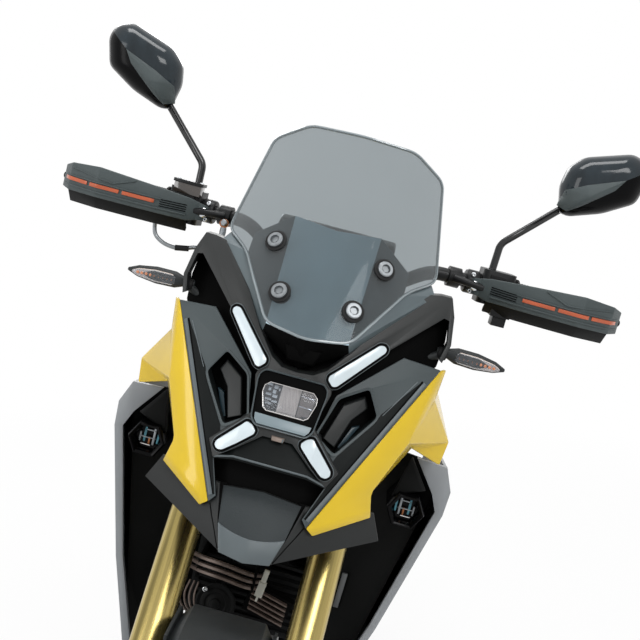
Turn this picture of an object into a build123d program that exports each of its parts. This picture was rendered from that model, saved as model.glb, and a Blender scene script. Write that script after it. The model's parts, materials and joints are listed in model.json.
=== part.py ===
"""Adventure motorcycle, parked on its side stand.

Everything is drawn upright first: +X is the rider's left, -Y is forward, +Z is up, in
millimetres. At the end the whole motorcycle leans to its left onto the stand.
"""

from build123d import *
import math
import os

# ---------------------------------------------------------------- driving sizes
lean_deg = 12.0  # how far the parked motorcycle leans to its left
rake_deg = 26.0  # the steering axis from the vertical
steering_foot_y = -840.0  # where the steering axis would meet z = 0
running_gap = 0.3  # between a shaft and the bore it turns in
seat_gap = 0.3  # between a piece and the piece that carries it

# wheels: 19 inch front, 17 inch rear
front_tyre_radius = 329.0
front_tyre_width = 110.0
front_rim_radius = 249.0
front_rim_width = 84.0
front_axle_height = 329.0
front_axle_offset = 46.0  # ahead of the steering axis, square to it
rear_tyre_radius = 321.0
rear_tyre_width = 150.0
rear_rim_radius = 224.0
rear_rim_width = 118.0
rear_axle_y = 710.0
axle_radius = 10.0
hub_radius = 34.0
spoke_count = 5

# fork and steering head
fork_spread = 105.0  # each fork leg from the middle plane
fork_offset = 35.0  # fork legs ahead of the steering axis
outer_tube_radius = 26.0
outer_tube_low = 520.0  # heights along the steering axis
outer_tube_high = 1150.0
sleeve_radius = 28.0
sleeve_length = 72.0
inner_tube_radius = 20.5
fork_foot_low = 308.0
fork_foot_high = 402.0
fork_foot_width = 40.0
fork_foot_depth = 62.0
head_tube_low = 957.0
head_tube_high = 1101.0
head_tube_radius = 33.0
stem_radius = 24.0
upper_clamp_thickness = 26.0
lower_clamp_thickness = 36.0
clamp_gap = 1.0
clamp_wall = 9.0

# handlebar
bar_radius = 11.0
bar_centre = (0.0, -318.0, 1105.0)
bar_clamp_x = 45.0
bar_bend_in = (84.0, -318.0, 1105.0)
bar_bend_out = (150.0, -327.0, 1152.0)
bar_end = (425.0, -284.0, 1150.0)
bar_bend_radius = 55.0
grip_radius = 16.5
grip_start = 0.50  # share of the straight end of the bar where the grip begins
grip_end = 0.97

# engine and frame
frame_tube_radius = 17.0
down_tube_radius = 14.0
pivot_y = 170.0
pivot_z = 385.0
pivot_radius = 12.0
crankcase_half_width = 84.0
engine_cover_out = 112.0

# body
screen_thickness = 4.0
screen_slope_deg = 29.6  # leans back from the vertical
screen_bend_radius = 205.0
screen_foot = (0.0, -635.0, 1020.0)

# side stand
stand_pivot = (146.0, 105.0, 262.0)
stand_splay_deg = 28.0
stand_forward_deg = 14.0
stand_travel_deg = 100.0
stand_leg_radius = 11.0
stand_eye_half = 11.5
stand_foot_thickness = 8.0

lean = math.radians(lean_deg)
rake = math.radians(rake_deg)

# ---------------------------------------------------------------- helpers
steer_up = Vector(0, math.sin(rake), math.cos(rake))


def fork_point(x, back, along):
    """A point given across, behind and along the steering axis."""
    y = steering_foot_y + along * math.sin(rake) + back * math.cos(rake)
    z = along * math.cos(rake) - back * math.sin(rake)
    return Vector(x, y, z)


def fork_plane(along):
    """The plane square to the steering axis: local X across, local Y rearward."""
    return Plane(origin=fork_point(0, 0, along), x_dir=(1, 0, 0), z_dir=steer_up)


def rod(start, end, radius):
    start, end = Vector(*start), Vector(*end)
    along = end - start
    return Solid.make_cylinder(radius, along.length, Plane(origin=start, z_dir=along))


def pipe(points, radius, bends):
    """A round bar along straight runs joined by arcs, one bend radius a corner."""
    path = FilletPolyline(*points, radius=bends)
    return sweep(Plane(origin=path @ 0, z_dir=path % 0) * Circle(radius), path=path)


def block(x, y, z):
    """A box between pairs of x, y and z."""
    size = (x[1] - x[0], y[1] - y[0], z[1] - z[0])
    middle = [(low + high) / 2 for low, high in (x, y, z)]
    return Pos(*middle) * Box(*size)


def face_of(points):
    return Face(Wire.make_polygon([Vector(*p) for p in points], close=True))


def side_plate(outline, x):
    """A plate across x, its outline given in y and z."""
    face = face_of([(x[0], y, z) for y, z in outline])
    return Solid.extrude(face, Vector(x[1] - x[0], 0, 0))


def rib_solid(rings):
    """A closed solid through rings with the same number of points."""
    faces = []
    for ring, after in zip(rings, rings[1:]):
        count = len(ring)
        for i in range(count):
            j = (i + 1) % count
            faces.append(face_of([ring[i], ring[j], after[j]]))
            faces.append(face_of([ring[i], after[j], after[i]]))
    for cap in (rings[0], rings[-1]):
        for i in range(1, len(cap) - 1):
            faces.append(face_of([cap[0], cap[i], cap[i + 1]]))
    return Solid(Shell(faces))


def folded(points, facets, back):
    """A folded sheet: named front points, its facets, and the step to its back face.

    A point of six numbers carries its own step to the back."""
    edges = {}
    faces = []
    front = {name: Vector(*p[:3]) for name, p in points.items()}
    behind = {name: front[name] + Vector(*(p[3:] or back)) for name, p in points.items()}
    for facet in facets:
        names = facet.split()
        for i in range(1, len(names) - 1):
            trio = (names[0], names[i], names[i + 1])
            faces.append(face_of([front[n] for n in trio]))
            faces.append(face_of([behind[n] for n in reversed(trio)]))
            for a, b in zip(trio, trio[1:] + trio[:1]):
                edges[frozenset((a, b))] = edges.get(frozenset((a, b)), 0) + 1
    for pair, uses in edges.items():
        if uses == 1:
            a, b = tuple(pair)
            faces.append(face_of([front[a], front[b], behind[b]]))
            faces.append(face_of([front[a], behind[b], behind[a]]))
    return Solid(Shell(faces))


def other_side(shape):
    return mirror(shape, about=Plane.YZ)


def both(shape):
    return Compound([shape, other_side(shape)])


def lathe_x(profile, y, z):
    """A ring about an axle: its outline is given in x and distance from the axle."""
    face = face_of([(x, y, z + r) for x, r in profile])
    return revolve(face, axis=Axis((0, y, z), (1, 0, 0)), revolution_arc=360)


def rounded_loft(sections):
    """A body through rounded boxes: rows of y, middle z, width, height, corner."""
    rings = []
    for y, z, width, height, corner in sections:
        at = Plane(origin=(0, y, z), x_dir=(1, 0, 0), z_dir=(0, -1, 0))
        rings.append(at * RectangleRounded(width, height, corner))
    return loft(rings)


# ---------------------------------------------------------------- wheels
def tyre_outline(radius, width, rim_radius):
    """Left half: x and distance from the axle, from the crown to the bead."""
    half = width / 2
    # each row: share of the half width, share of the side wall's height below the crown
    tread = [
        (0.0, 0.0),
        (0.42, 0.05),
        (0.74, 0.17),
        (0.93, 0.36),
        (1.0, 0.52),
        (0.97, 0.68),
    ]
    wall = radius - rim_radius
    right = [(out * half, radius - drop * wall) for out, drop in tread]
    right.append((half * 0.76, rim_radius + seat_gap))
    return right


def tyre(radius, width, rim_radius, y, z):
    right = tyre_outline(radius, width, rim_radius)
    right += [(width * 0.28, rim_radius + seat_gap), (width * 0.30, rim_radius + 16)]
    left = [(-x, r) for x, r in reversed(right[1:])]
    return lathe_x(right + left, y, z)


def lift_on_floor(radius, width, rim_radius):
    """Height of the axle over the floor of the leaning wheel, along the wheel's plane."""
    outline = tyre_outline(radius, width, rim_radius)
    return max(x * math.tan(lean) + r for x, r in outline)


front_axle_z = front_axle_height
front_lift = lift_on_floor(front_tyre_radius, front_tyre_width, front_rim_radius)
rear_lift = lift_on_floor(rear_tyre_radius, rear_tyre_width, rear_rim_radius)
rear_axle_z = front_axle_z - front_lift + rear_lift
floor_z = (front_axle_z - front_lift) * math.cos(lean)

axle_along = (front_axle_z - front_axle_offset * math.sin(rake)) / math.cos(rake)
front_axle = fork_point(0, -front_axle_offset, axle_along)


def cast_wheel(rim_radius, rim_width, hub_half, y, z, carrier_radius):
    """Rim, split spokes and hub in one casting."""
    half = rim_width / 2
    seat = rim_radius - 14
    rim = lathe_x(
        [
            (half, rim_radius),
            (half - 6, rim_radius),
            (half - 9, seat + 4),
            (half - 26, seat),
            (20, seat - 8),
            (-20, seat - 8),
            (26 - half, seat),
            (9 - half, seat + 4),
            (6 - half, rim_radius),
            (-half, rim_radius),
            (-half, seat),
            (30 - half, seat - 6),
            (-22, seat - 18),
            (22, seat - 18),
            (half - 30, seat - 6),
            (half, seat),
        ],
        y,
        z,
    )
    hub = rod((-hub_half, y, z), (hub_half, y, z), hub_radius)
    casting = rim + hub
    for side in (-1, 1):
        casting += rod((side * (hub_half - 9), y, z), (side * hub_half, y, z), carrier_radius)
    reach = seat - 10
    for spoke in range(spoke_count):
        turn = spoke * 360 / spoke_count
        for spread in (-12.0, 12.0):
            root = Plane((0, y, z)) * Rot(turn, 0, 0) * Pos(0, spread * 0.8, hub_radius - 6)
            tip = Plane((0, y, z)) * Rot(turn + spread, 0, 0) * Pos(0, 0, reach)
            casting += loft([root * Rectangle(34, 20), tip * Rectangle(30, 16)])
    bore = rod((-hub_half - 1, y, z), (hub_half + 1, y, z), axle_radius + running_gap)
    return casting - bore


front_hub_half = 52.0
rear_hub_half = 74.0
front_disc_radius = 155.0
rear_disc_radius = 120.0
disc_thickness = 5.0
disc_carrier_radius = 62.0


def brake_disc(radius, inner, x, y, z):
    """A flat disc with a ring of round holes."""
    disc = lathe_x([(x, inner), (x, radius), (x + disc_thickness, radius), (x + disc_thickness, inner)], y, z)
    middle = (radius + 95) / 2
    for hole in range(18):
        turn = hole * 2 * math.pi / 18
        spot = (y + middle * math.cos(turn), z + middle * math.sin(turn))
        disc -= rod((x - 1, *spot), (x + disc_thickness + 1, *spot), 5)
    return disc


sprocket_radius = 98.0
sprocket_thickness = 7.0
chain_x = 100.0
chain_width = 16.0
chain_height = 15.0
chain_gap = 2.0
front_sprocket_radius = 38.0
front_sprocket_y = 95.0
front_sprocket_z = 375.0


def rear_sprocket():
    """The sprocket ring on the left of the rear hub, with its carrier."""
    x0 = chain_x - sprocket_thickness / 2
    centre = (rear_axle_y, rear_axle_z)
    ring_radius = sprocket_radius - chain_height / 2 - chain_gap
    ring = rod((x0, *centre), (x0 + sprocket_thickness, *centre), ring_radius)
    carrier = rod((rear_hub_half, *centre), (x0, *centre), 55)
    bore = rod((rear_hub_half - 1, *centre), (x0 + 20, *centre), axle_radius + running_gap)
    return ring + carrier - bore


# ---------------------------------------------------------------- steering
def fork_outer_tubes():
    """The gold upper tubes, with a wider sleeve at the lower end."""
    tube = rod(
        fork_point(fork_spread, -fork_offset, outer_tube_low),
        fork_point(fork_spread, -fork_offset, outer_tube_high),
        outer_tube_radius,
    )
    sleeve = rod(
        fork_point(fork_spread, -fork_offset, outer_tube_low),
        fork_point(fork_spread, -fork_offset, outer_tube_low + sleeve_length),
        sleeve_radius,
    )
    return both(tube + sleeve)


def fork_inner_tubes():
    """The bright lower tubes between the gold tubes and the axle feet."""
    return both(
        rod(
            fork_point(fork_spread, -fork_offset, fork_foot_high),
            fork_point(fork_spread, -fork_offset, outer_tube_low),
            inner_tube_radius,
        )
    )


def fork_feet():
    """The clamps at the bottom of the fork with the front axle through them."""
    foot = fork_plane(fork_foot_low) * Pos(fork_spread, -front_axle_offset + 4, 0)
    height = fork_foot_high - fork_foot_low
    shape = extrude(foot * RectangleRounded(fork_foot_width, fork_foot_depth, 12), amount=height)
    end = fork_spread + fork_foot_width / 2 + 6
    axle = rod((-end, front_axle.Y, front_axle.Z), (end, front_axle.Y, front_axle.Z), axle_radius)
    return shape + other_side(shape) + axle


def clamp_plate(low, thickness, stem_hole):
    tubes = Pos(fork_spread, -fork_offset) * Circle(outer_tube_radius + clamp_wall)
    tubes += Pos(-fork_spread, -fork_offset) * Circle(outer_tube_radius + clamp_wall)
    middle = Circle(stem_radius + clamp_wall)
    sketch = make_hull(tubes.edges() + middle.edges())
    for side in (-1, 1):
        sketch -= Pos(side * fork_spread, -fork_offset) * Circle(outer_tube_radius)
    if stem_hole:
        sketch -= Circle(stem_radius)
    return extrude(fork_plane(low) * sketch, amount=thickness)


upper_clamp_low = head_tube_high + clamp_gap
upper_clamp_high = upper_clamp_low + upper_clamp_thickness
lower_clamp_low = head_tube_low - clamp_gap - lower_clamp_thickness


def lower_clamp():
    plate = clamp_plate(lower_clamp_low, lower_clamp_thickness, False)
    return plate + rod(fork_point(0, 0, lower_clamp_low), fork_point(0, 0, upper_clamp_high), stem_radius)


bar_back = (bar_centre[1] - steering_foot_y) * math.cos(rake) - bar_centre[2] * math.sin(rake)
bar_along = (bar_centre[1] - steering_foot_y) * math.sin(rake) + bar_centre[2] * math.cos(rake)
riser_radius = 15.0
riser_block = (30.0, 44.0, 40.0)


def upper_clamp():
    """The clamp around the fork tubes, with two posts and blocks around the bar."""
    plate = clamp_plate(upper_clamp_low, upper_clamp_thickness, True)
    post = rod(
        fork_point(bar_clamp_x, bar_back, upper_clamp_high),
        fork_point(bar_clamp_x, bar_back, bar_along),
        riser_radius,
    )
    cap = fork_plane(bar_along) * Pos(bar_clamp_x, bar_back, 0) * Box(*riser_block)
    hole = rod((0, bar_centre[1], bar_centre[2]), (100, bar_centre[1], bar_centre[2]), bar_radius)
    riser = post + cap - hole
    return plate + riser + other_side(riser)


def flipped(point):
    return (-point[0], point[1], point[2])


def handlebar():
    points = [flipped(bar_end), flipped(bar_bend_out), flipped(bar_bend_in)]
    points += [bar_bend_in, bar_bend_out, bar_end]
    return pipe(points, bar_radius, [bar_bend_radius] * 4)


def along_grip(share):
    """A point on the straight end of the bar, from its bend to its tip."""
    return Vector(*bar_bend_out) + (Vector(*bar_end) - Vector(*bar_bend_out)) * share


def ring_on_bar(start, end, radius):
    """A sleeve around the straight end of the bar, between two shares of it."""
    outer = rod(along_grip(start), along_grip(end), radius)
    reach = (along_grip(1) - along_grip(0)) * 0.1
    return outer - rod(along_grip(start) - reach, along_grip(end) + reach, bar_radius)


def grips():
    return both(ring_on_bar(grip_start, grip_end, grip_radius))


def switch_housing():
    """The switch block inboard of the grip."""
    middle = along_grip(0.38)
    across = Plane(origin=middle, x_dir=(along_grip(1) - along_grip(0)).normalized(), z_dir=(0, 0, 1))
    housing = extrude(across * RectangleRounded(54, 44, 10), amount=27, both=True)
    reach = (along_grip(1) - along_grip(0)) * 0.2
    return housing - rod(middle - reach, middle + reach, bar_radius)


lever_pivot = (254.0, -336.0, 1152.0)
lever_knee = (300.0, -351.0, 1150.0)
lever_tip = (408.0, -345.0, 1146.0)
lever_thickness = 12.0


def lever():
    """A perch clamped on the bar and the blade that hangs in front of the grip."""
    perch = ring_on_bar(0.20, 0.28, 17)
    arm = rod(along_grip(0.26) + Vector(0, -11, 0), lever_pivot, 6)
    blade = pipe([lever_pivot, lever_knee, lever_tip], lever_thickness / 2, [30])
    ball = Pos(*lever_tip) * Sphere(8)
    knuckle = Pos(*lever_pivot) * Sphere(9)
    bar = rod(along_grip(0.1), along_grip(0.5), bar_radius)
    return perch + arm + knuckle + blade + ball - bar


def bar_controls_half():
    return switch_housing() + lever()


# the hand guard: rows of x, y, low z and high z along its front
guard_stations = [
    (229.0, -342.0, 1134.0, 1162.0),
    (244.0, -350.0, 1130.0, 1166.0),
    (300.0, -373.0, 1131.0, 1172.0),
    (385.0, -382.0, 1131.0, 1178.0),
    (436.0, -354.0, 1130.0, 1173.0),
    (456.0, -320.0, 1131.0, 1166.0),
]
guard_thickness = 5.0
guard_arm_end = (236.0, -340.5, 1148.0)


def hand_guard():
    rings = []
    for x, y, low, high in guard_stations:
        step = guard_thickness if y < -330 else guard_thickness * 0.8
        rings.append([(x, y, low), (x, y, high), (x - 1, y + step, high), (x - 1, y + step, low)])
    return rib_solid(rings)


def guard_mounts():
    """The bar-end weight and the inner clamp that hold the guard on the bar."""
    outer = rod(along_grip(1.09), (452.0, -317.0, 1148.0), 7)
    weight = rod(along_grip(1), along_grip(1.09), grip_radius)
    clamp = ring_on_bar(0.10, 0.17, 16)
    inner = rod(along_grip(0.135) + Vector(0, -15, 0), guard_arm_end, 6)
    half = weight + outer + (clamp + inner)
    bar = rod(along_grip(0.05), along_grip(0.5), bar_radius)
    return both(half - bar - hand_guard() - bar_controls_half())


mirror_stem_base = (244.0, -308.0, 1166.0)
mirror_stem_bend = (246.0, -303.0, 1221.0)
mirror_stem_top = (334.0, -298.0, 1310.0)
mirror_stem_radius = 6.0
# the mirror head's outline, in x and z
mirror_outline = [
    (310.0, 1333.0),
    (315.0, 1363.0),
    (336.0, 1385.0),
    (406.0, 1408.0),
    (432.0, 1399.0),
    (441.0, 1378.0),
    (430.0, 1334.0),
    (384.0, 1306.0),
    (336.0, 1289.0),
    (320.0, 1292.0),
]
mirror_head_y = -296.0
mirror_head_depth = 34.0


def mirror_stem():
    foot = rod(along_grip(0.32), mirror_stem_base, 10)
    arm = pipe([mirror_stem_base, mirror_stem_bend, mirror_stem_top], mirror_stem_radius, [22])
    bar = rod(along_grip(0.05), along_grip(0.6), bar_radius)
    return foot + arm - bar - bar_controls_half() - mirror_head()


def mirror_head():
    front = face_of([(x, mirror_head_y, z) for x, z in mirror_outline])
    middle_x = sum(x for x, z in mirror_outline) / len(mirror_outline)
    middle_z = sum(z for x, z in mirror_outline) / len(mirror_outline)
    small = [(middle_x + (x - middle_x) * 0.6, middle_z + (z - middle_z) * 0.6) for x, z in mirror_outline]
    rings = [
        [(x, mirror_head_y - mirror_head_depth, z) for x, z in small],
        [(x, mirror_head_y - 8, z) for x, z in mirror_outline],
        [(x, mirror_head_y + 6, z) for x, z in mirror_outline],
    ]
    return rib_solid(rings)


fender_gap = 12.0
fender_thickness = 4.0
fender_half = front_tyre_width / 2 + 8
fender_lip = 22.0  # how far the sides of the arch turn down
fender_shoulder = 16.0
fender_boss_along = 640.0
fender_boss_radius = 13.0
# the side skirts: angle back from the front of the wheel, and radius
skirt_corners = [(84, 342), (100, 342), (108, 322), (126, 316), (126, 286), (84, 302)]
skirt_x = (fender_half, fender_half + fender_thickness)


def about_front_axle(angle, radius):
    """y and z of a point around the front axle, its angle measured back from the front."""
    turn = math.radians(angle)
    return front_axle.Y - radius * math.cos(turn), front_axle.Z + radius * math.sin(turn)


def front_fender():
    """An arch over the front tyre, with side skirts that hang from the fork legs."""
    inner = front_tyre_radius + fender_gap
    outer = inner + fender_thickness
    rim = inner - fender_lip
    under = [(fender_half, rim), (fender_half - fender_shoulder, inner)]
    over = [(fender_half - fender_shoulder + 2, outer), (fender_half + fender_thickness, rim + 2)]
    left = [(-x, radius) for x, radius in under]
    right = [*reversed(under), *reversed(over)]
    ring = lathe_x(left + right + [(-x, radius) for x, radius in over], front_axle.Y, front_axle.Z)
    wedge = [about_front_axle(0, 0)] + [about_front_axle(angle, 600) for angle in (62, 84, 103)]
    arch = ring & side_plate(wedge, (-150, 150))
    skirt = side_plate([about_front_axle(*corner) for corner in skirt_corners], skirt_x)
    spot = fork_point(0, -fork_offset, fender_boss_along)
    boss = rod((skirt_x[0] + 1, spot.Y, spot.Z), (fork_spread, spot.Y, spot.Z), fender_boss_radius)
    return arch + both(skirt + boss) - fork_outer_tubes()


def front_caliper():
    """A caliper over the edge of the front disc, behind the left fork leg."""
    middle = fork_point(0, 62, axle_along + 78)
    across = (front_hub_half - 12, front_hub_half + 32)
    body = block(across, (middle.Y - 36, middle.Y + 36), (middle.Z - 30, middle.Z + 30))
    slot_x = (front_hub_half - 2, front_hub_half + disc_thickness + 2)
    slot_ends = [(x, front_axle.Y, front_axle.Z) for x in slot_x]
    slot = rod(*slot_ends, front_disc_radius + 3)
    lug = rod(fork_point(96, -20, 388), fork_point(76, 50, 404), 9)
    return body + lug - slot - fork_feet()


# ---------------------------------------------------------------- frame and engine
def head_tube():
    outer = rod(fork_point(0, 0, head_tube_low), fork_point(0, 0, head_tube_high), head_tube_radius)
    bore_ends = [fork_point(0, 0, along) for along in (head_tube_low - 5, head_tube_high + 5)]
    bore = rod(*bore_ends, stem_radius + running_gap)
    return outer, bore


spar_points = [(16, -352, 925), (62, -300, 890), (118, -190, 800), (118, 60, 590), (118, 160, 470)]
down_points = [(14, -385, 905), (26, -345, 835), (62, -285, 420), (66, -230, 215), (72, -150, 196)]
cradle_points = [(72, -150, 196), (86, 90, 196), (118, 178, 235), (118, 182, 300)]
pivot_plate_x = (112.0, 124.0)
pivot_plate_outline = [(150, 225), (198, 240), (205, 420), (170, 490), (135, 480), (140, 330)]
tank_cross_y = -190.0
tank_cross_z = 800.0
shroud_stay_end = (235.0, -200.0, 765.0)
cooler_size = (188.0, 26.0, 190.0)
cooler_low_z = 500.0
cooler_slots = 13


def spar():
    return pipe(spar_points, frame_tube_radius, [50, 60, 120])


def frame():
    """Head tube, spars, down tubes, cradle and the plates of the swingarm pivot."""
    head, bore = head_tube()
    down = pipe(down_points, down_tube_radius, [50, 120, 40])
    cradle = pipe(cradle_points, down_tube_radius, [60, 28])
    plate = side_plate(pivot_plate_outline, pivot_plate_x)
    tank_post = rod((50, tank_cross_y, tank_cross_z), (50, tank_cross_y, tank_cross_z + 90), 10)
    shroud_stay = rod((118, -188, 798), shroud_stay_end, 8)
    front_mount = block((52, 68), (-264, -180), (284, 312))
    low_mount = block((66, 82), (10, 50), (200, 240))
    half = spar() + down + cradle + plate + tank_post + shroud_stay + front_mount + low_mount
    cross_high = rod((-118, 110, 540), (118, 110, 540), 14)
    cross_tank = rod((-118, tank_cross_y, tank_cross_z), (118, tank_cross_y, tank_cross_z), 12)
    whole = head + half + other_side(half) + cross_high + cross_tank + stand_bracket()
    return whole - bore - swing_pivot() - fuel_tank() - both(shroud()) - crankcase() - exhaust_pipe()


def swing_pivot():
    return rod((-arm_x[1] - 8, pivot_y, pivot_z), (arm_x[1] + 8, pivot_y, pivot_z), pivot_radius)


crankcase_outline = [
    (-196, 320), (-180, 250), (-120, 232), (40, 232), (100, 262), (120, 330), (118, 400), (60, 415),
]


def crankcase():
    """The heavy middle of the engine."""
    reach_y = 92 * math.cos(cylinder_tilt)
    reach_z = 92 * math.sin(cylinder_tilt)
    deck = [
        (cylinder_foot[1] + reach_y, cylinder_foot[2] + reach_z),
        (cylinder_foot[1] - reach_y, cylinder_foot[2] - reach_z),
    ]
    case = side_plate(crankcase_outline + deck, (-crankcase_half_width, crankcase_half_width))
    spot = (front_sprocket_y, front_sprocket_z)
    half_tooth = sprocket_thickness / 2
    shaft = rod((crankcase_half_width, *spot), (chain_x + half_tooth, *spot), 14)
    ring_radius = front_sprocket_radius - chain_height / 2 - seat_gap
    ring = rod((chain_x - half_tooth, *spot), (chain_x + half_tooth, *spot), ring_radius)
    return case + shaft + ring


def engine_covers():
    left = rod((crankcase_half_width, -50, 320), (engine_cover_out, -50, 320), 78)
    right = rod((-crankcase_half_width, -20, 320), (-engine_cover_out, -20, 320), 84)
    return Compound([left, right])


cylinder_tilt = math.radians(24)
cylinder_foot = (0.0, -95.0, 438.0)
fin_pitch = 16.0


def cylinder_plane(height):
    y = cylinder_foot[1] - height * math.sin(cylinder_tilt)
    z = cylinder_foot[2] + height * math.cos(cylinder_tilt)
    upward = (0, -math.sin(cylinder_tilt), math.cos(cylinder_tilt))
    return Plane(origin=(0, y, z), x_dir=(1, 0, 0), z_dir=upward)


cylinder_height = 125.0
head_height = 105.0
head_fins = (196.0, 186.0)


def finned(low, height, core, fins, corner):
    """A block with flat cooling fins around it."""
    shape = extrude(cylinder_plane(low) * RectangleRounded(core[0], core[1], corner), amount=height)
    count = int(height // fin_pitch)
    for fin in range(count):
        shelf = cylinder_plane(low + 5 + fin * fin_pitch) * RectangleRounded(fins[0], fins[1], corner + 6)
        shape += extrude(shelf, amount=5)
    return shape


def cylinder():
    return finned(0, cylinder_height, (150, 140), (184, 172), 24)


def cylinder_head():
    return finned(cylinder_height, head_height, (150, 150), head_fins, 20)


def exhaust_pipe():
    """From the front of the head, down and under the engine to the silencer."""
    along = (Vector(*silencer_end) - Vector(*silencer_start)).normalized()
    join = Vector(*silencer_start) - along * 50
    port = cylinder_plane(exhaust_port_height)
    head_front = head_fins[1] / 2 + seat_gap
    first = port.origin + port.x_dir * exhaust_port_x - port.y_dir * head_front
    bend = first - port.y_dir * 44
    points = [first, bend, *exhaust_points, join, silencer_start]
    return pipe(points, exhaust_radius, [24, 80, 60, 50, 50, 40])


exhaust_radius = 18.0
exhaust_port_height = 177.0
exhaust_port_x = -10.0
exhaust_points = [(-16, -258, 300), (-30, -212, 204), (-36, 120, 203), (-112, 262, 232)]
silencer_start = (-198.0, 400.0, 400.0)
silencer_end = (-212.0, 790.0, 640.0)
silencer_radius = 52.0


def silencer():
    start, end = Vector(*silencer_start), Vector(*silencer_end)
    along = (end - start).normalized()
    first = Plane(origin=start, z_dir=along) * Circle(24)
    second = Plane(origin=start + along * 60, z_dir=along) * Circle(silencer_radius)
    cone = loft([first, second])
    body = rod(start + along * 60, end, silencer_radius)
    outlet = rod(end - along * 40, end + along * 12, 17)
    return cone + body - outlet


skid_thickness = 5.0


def oil_cooler():
    """The finned cooler on the front of the down tubes."""
    width, depth, height = cooler_size
    core = Box(width, depth, height)
    for slot in range(cooler_slots):
        z = (slot + 1 - (cooler_slots + 1) / 2) * height / (cooler_slots + 1)
        core -= Pos(0, -depth / 2, z) * Box(width - 24, 10, 7)
    upper, lower = down_points[1], down_points[2]
    tilt = math.atan2(lower[1] - upper[1], upper[2] - lower[2])
    middle_z = cooler_low_z + height / 2
    tube_y = upper[1] + (upper[2] - middle_z) * math.tan(tilt)
    reach = (down_tube_radius + seat_gap + depth / 2) / math.cos(tilt)
    return Pos(0, tube_y - reach, middle_z) * Rot(math.degrees(tilt), 0, 0) * core


def skid_plate():
    low = cradle_points[0][2] - down_tube_radius - seat_gap - skid_thickness
    high = low + skid_thickness
    outline = [(-296, 330), (-244, low), (112, low), (112, high), (-240, high), (-291, 332)]
    return side_plate(outline, (-96, 96))


# ---------------------------------------------------------------- swingarm and rear
arm_x = (pivot_plate_x[1] + seat_gap, 150.0)
bridge_y = (pivot_y + 60, pivot_y + 130)
bridge_z = (pivot_z - 44, pivot_z + 8)
axle_half = 162.0


def swingarm():
    """Two beams joined ahead of the tyre, with the pivot shaft and the rear axle."""
    beam = side_plate(
        [
            (pivot_y - 34, pivot_z + 26),
            (pivot_y - 34, pivot_z - 26),
            (pivot_y + 120, pivot_z - 42),
            (rear_axle_y + 40, rear_axle_z - 22),
            (rear_axle_y + 40, rear_axle_z + 22),
            (pivot_y + 130, pivot_z + 28),
        ],
        (arm_x[0], arm_x[1]),
    )
    bridge = block((-arm_x[0] - 2, arm_x[0] + 2), bridge_y, bridge_z)
    axle = rod((-axle_half, rear_axle_y, rear_axle_z), (axle_half, rear_axle_y, rear_axle_z), axle_radius)
    return beam + other_side(beam) + bridge + axle + swing_pivot()


shock_top_y = 206.0
shock_top_z = 724.0


def rear_shock():
    """A damper with its coil spring drawn as rings on the body."""
    low = Vector(0, pivot_y + 95, bridge_z[1] - 6)
    high = Vector(0, shock_top_y, shock_top_z)
    along = (high - low).normalized()
    body = rod(low, high, 18)
    for turn in range(9):
        place = low + along * (40 + turn * 24)
        body += rod(place, place + along * 11, 34)
    return body - block((-100, 100), bridge_y, bridge_z)


def footpegs():
    hanger = block((pivot_plate_x[1], arm_x[1] - 2), (150, 176), (304, 326))
    peg = rod((arm_x[1] - 4, 160, 314), (246, 160, 314), 11)
    return both(hanger + peg)


def fuel_tank():
    return rounded_loft(
        [
            (-232, 900, 170, 110, 40),
            (-150, 930, 260, 170, 60),
            (-40, 925, 270, 160, 60),
            (60, 880, 200, 100, 40),
        ]
    )


def seat():
    body = rounded_loft(
        [
            (40, 838, 150, 60, 24),
            (200, 808, 230, 60, 26),
            (330, 822, 250, 70, 28),
            (470, 856, 240, 60, 26),
            (690, 876, 180, 46, 20),
        ]
    )
    return body - fuel_tank()


tail_tube_points = [(118, 30, 628), (104, 120, 720), (100, 420, 780), (84, 700, 830), (60, 800, 838)]


def subframe():
    upper = pipe(tail_tube_points, 13, [60, 80, 80])
    lower = pipe([(118, 143, 505), (108, 260, 600), (100, 560, 800)], 11, [80])
    cross = rod((-100, shock_top_y, shock_top_z + 14), (100, shock_top_y, shock_top_z + 14), 12)
    end = rod((-60, 800, 838), (60, 800, 838), 12)
    half = upper + lower
    hanger = rod((-98, 560, 800), (-205, 600, 560), 8) - silencer()
    return half + other_side(half) + cross + end + hanger - both(spar())


def tail_form():
    return rounded_loft([(440, 782, 240, 50, 16), (700, 820, 210, 52, 16), (850, 842, 150, 54, 16)])


def tail_cowl():
    """The covers around the tail tubes, open on top under the seat."""
    inner = rounded_loft([(430, 796, 232, 62, 12), (700, 834, 202, 64, 12), (838, 856, 142, 66, 12)])
    return tail_form() - inner - subframe()


rack_z = (899.0, 905.0)


def rear_rack():
    """A flat luggage rack on posts, with a window and four bolt holes."""
    plate = block((-85, 85), (705, 885), rack_z)
    plate -= block((-50, 50), (745, 845), (890, 915))
    for x in (-68, 68):
        for y in (730, 860):
            plate -= rod((x, y, 890), (x, y, 915), 3.5)
    post = rod((60, 790, 838), (60, 790, rack_z[0]), 8)
    return plate + both(post) - subframe()


def tail_lamp():
    return block((-50, 50), (850.3, 872), (830, 862))


plate_arm_outline = [(800, 808), (850, 806), (1010, 640), (1052, 520), (1040, 516), (980, 640), (850, 750)]


def rear_fender():
    """The plate holder that hangs from the tail."""
    arm = side_plate(plate_arm_outline, (-34, 34))
    board = side_plate([(998, 640), (1003, 642), (1066, 470), (1061, 468)], (-100, 100))
    return arm + board


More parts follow.
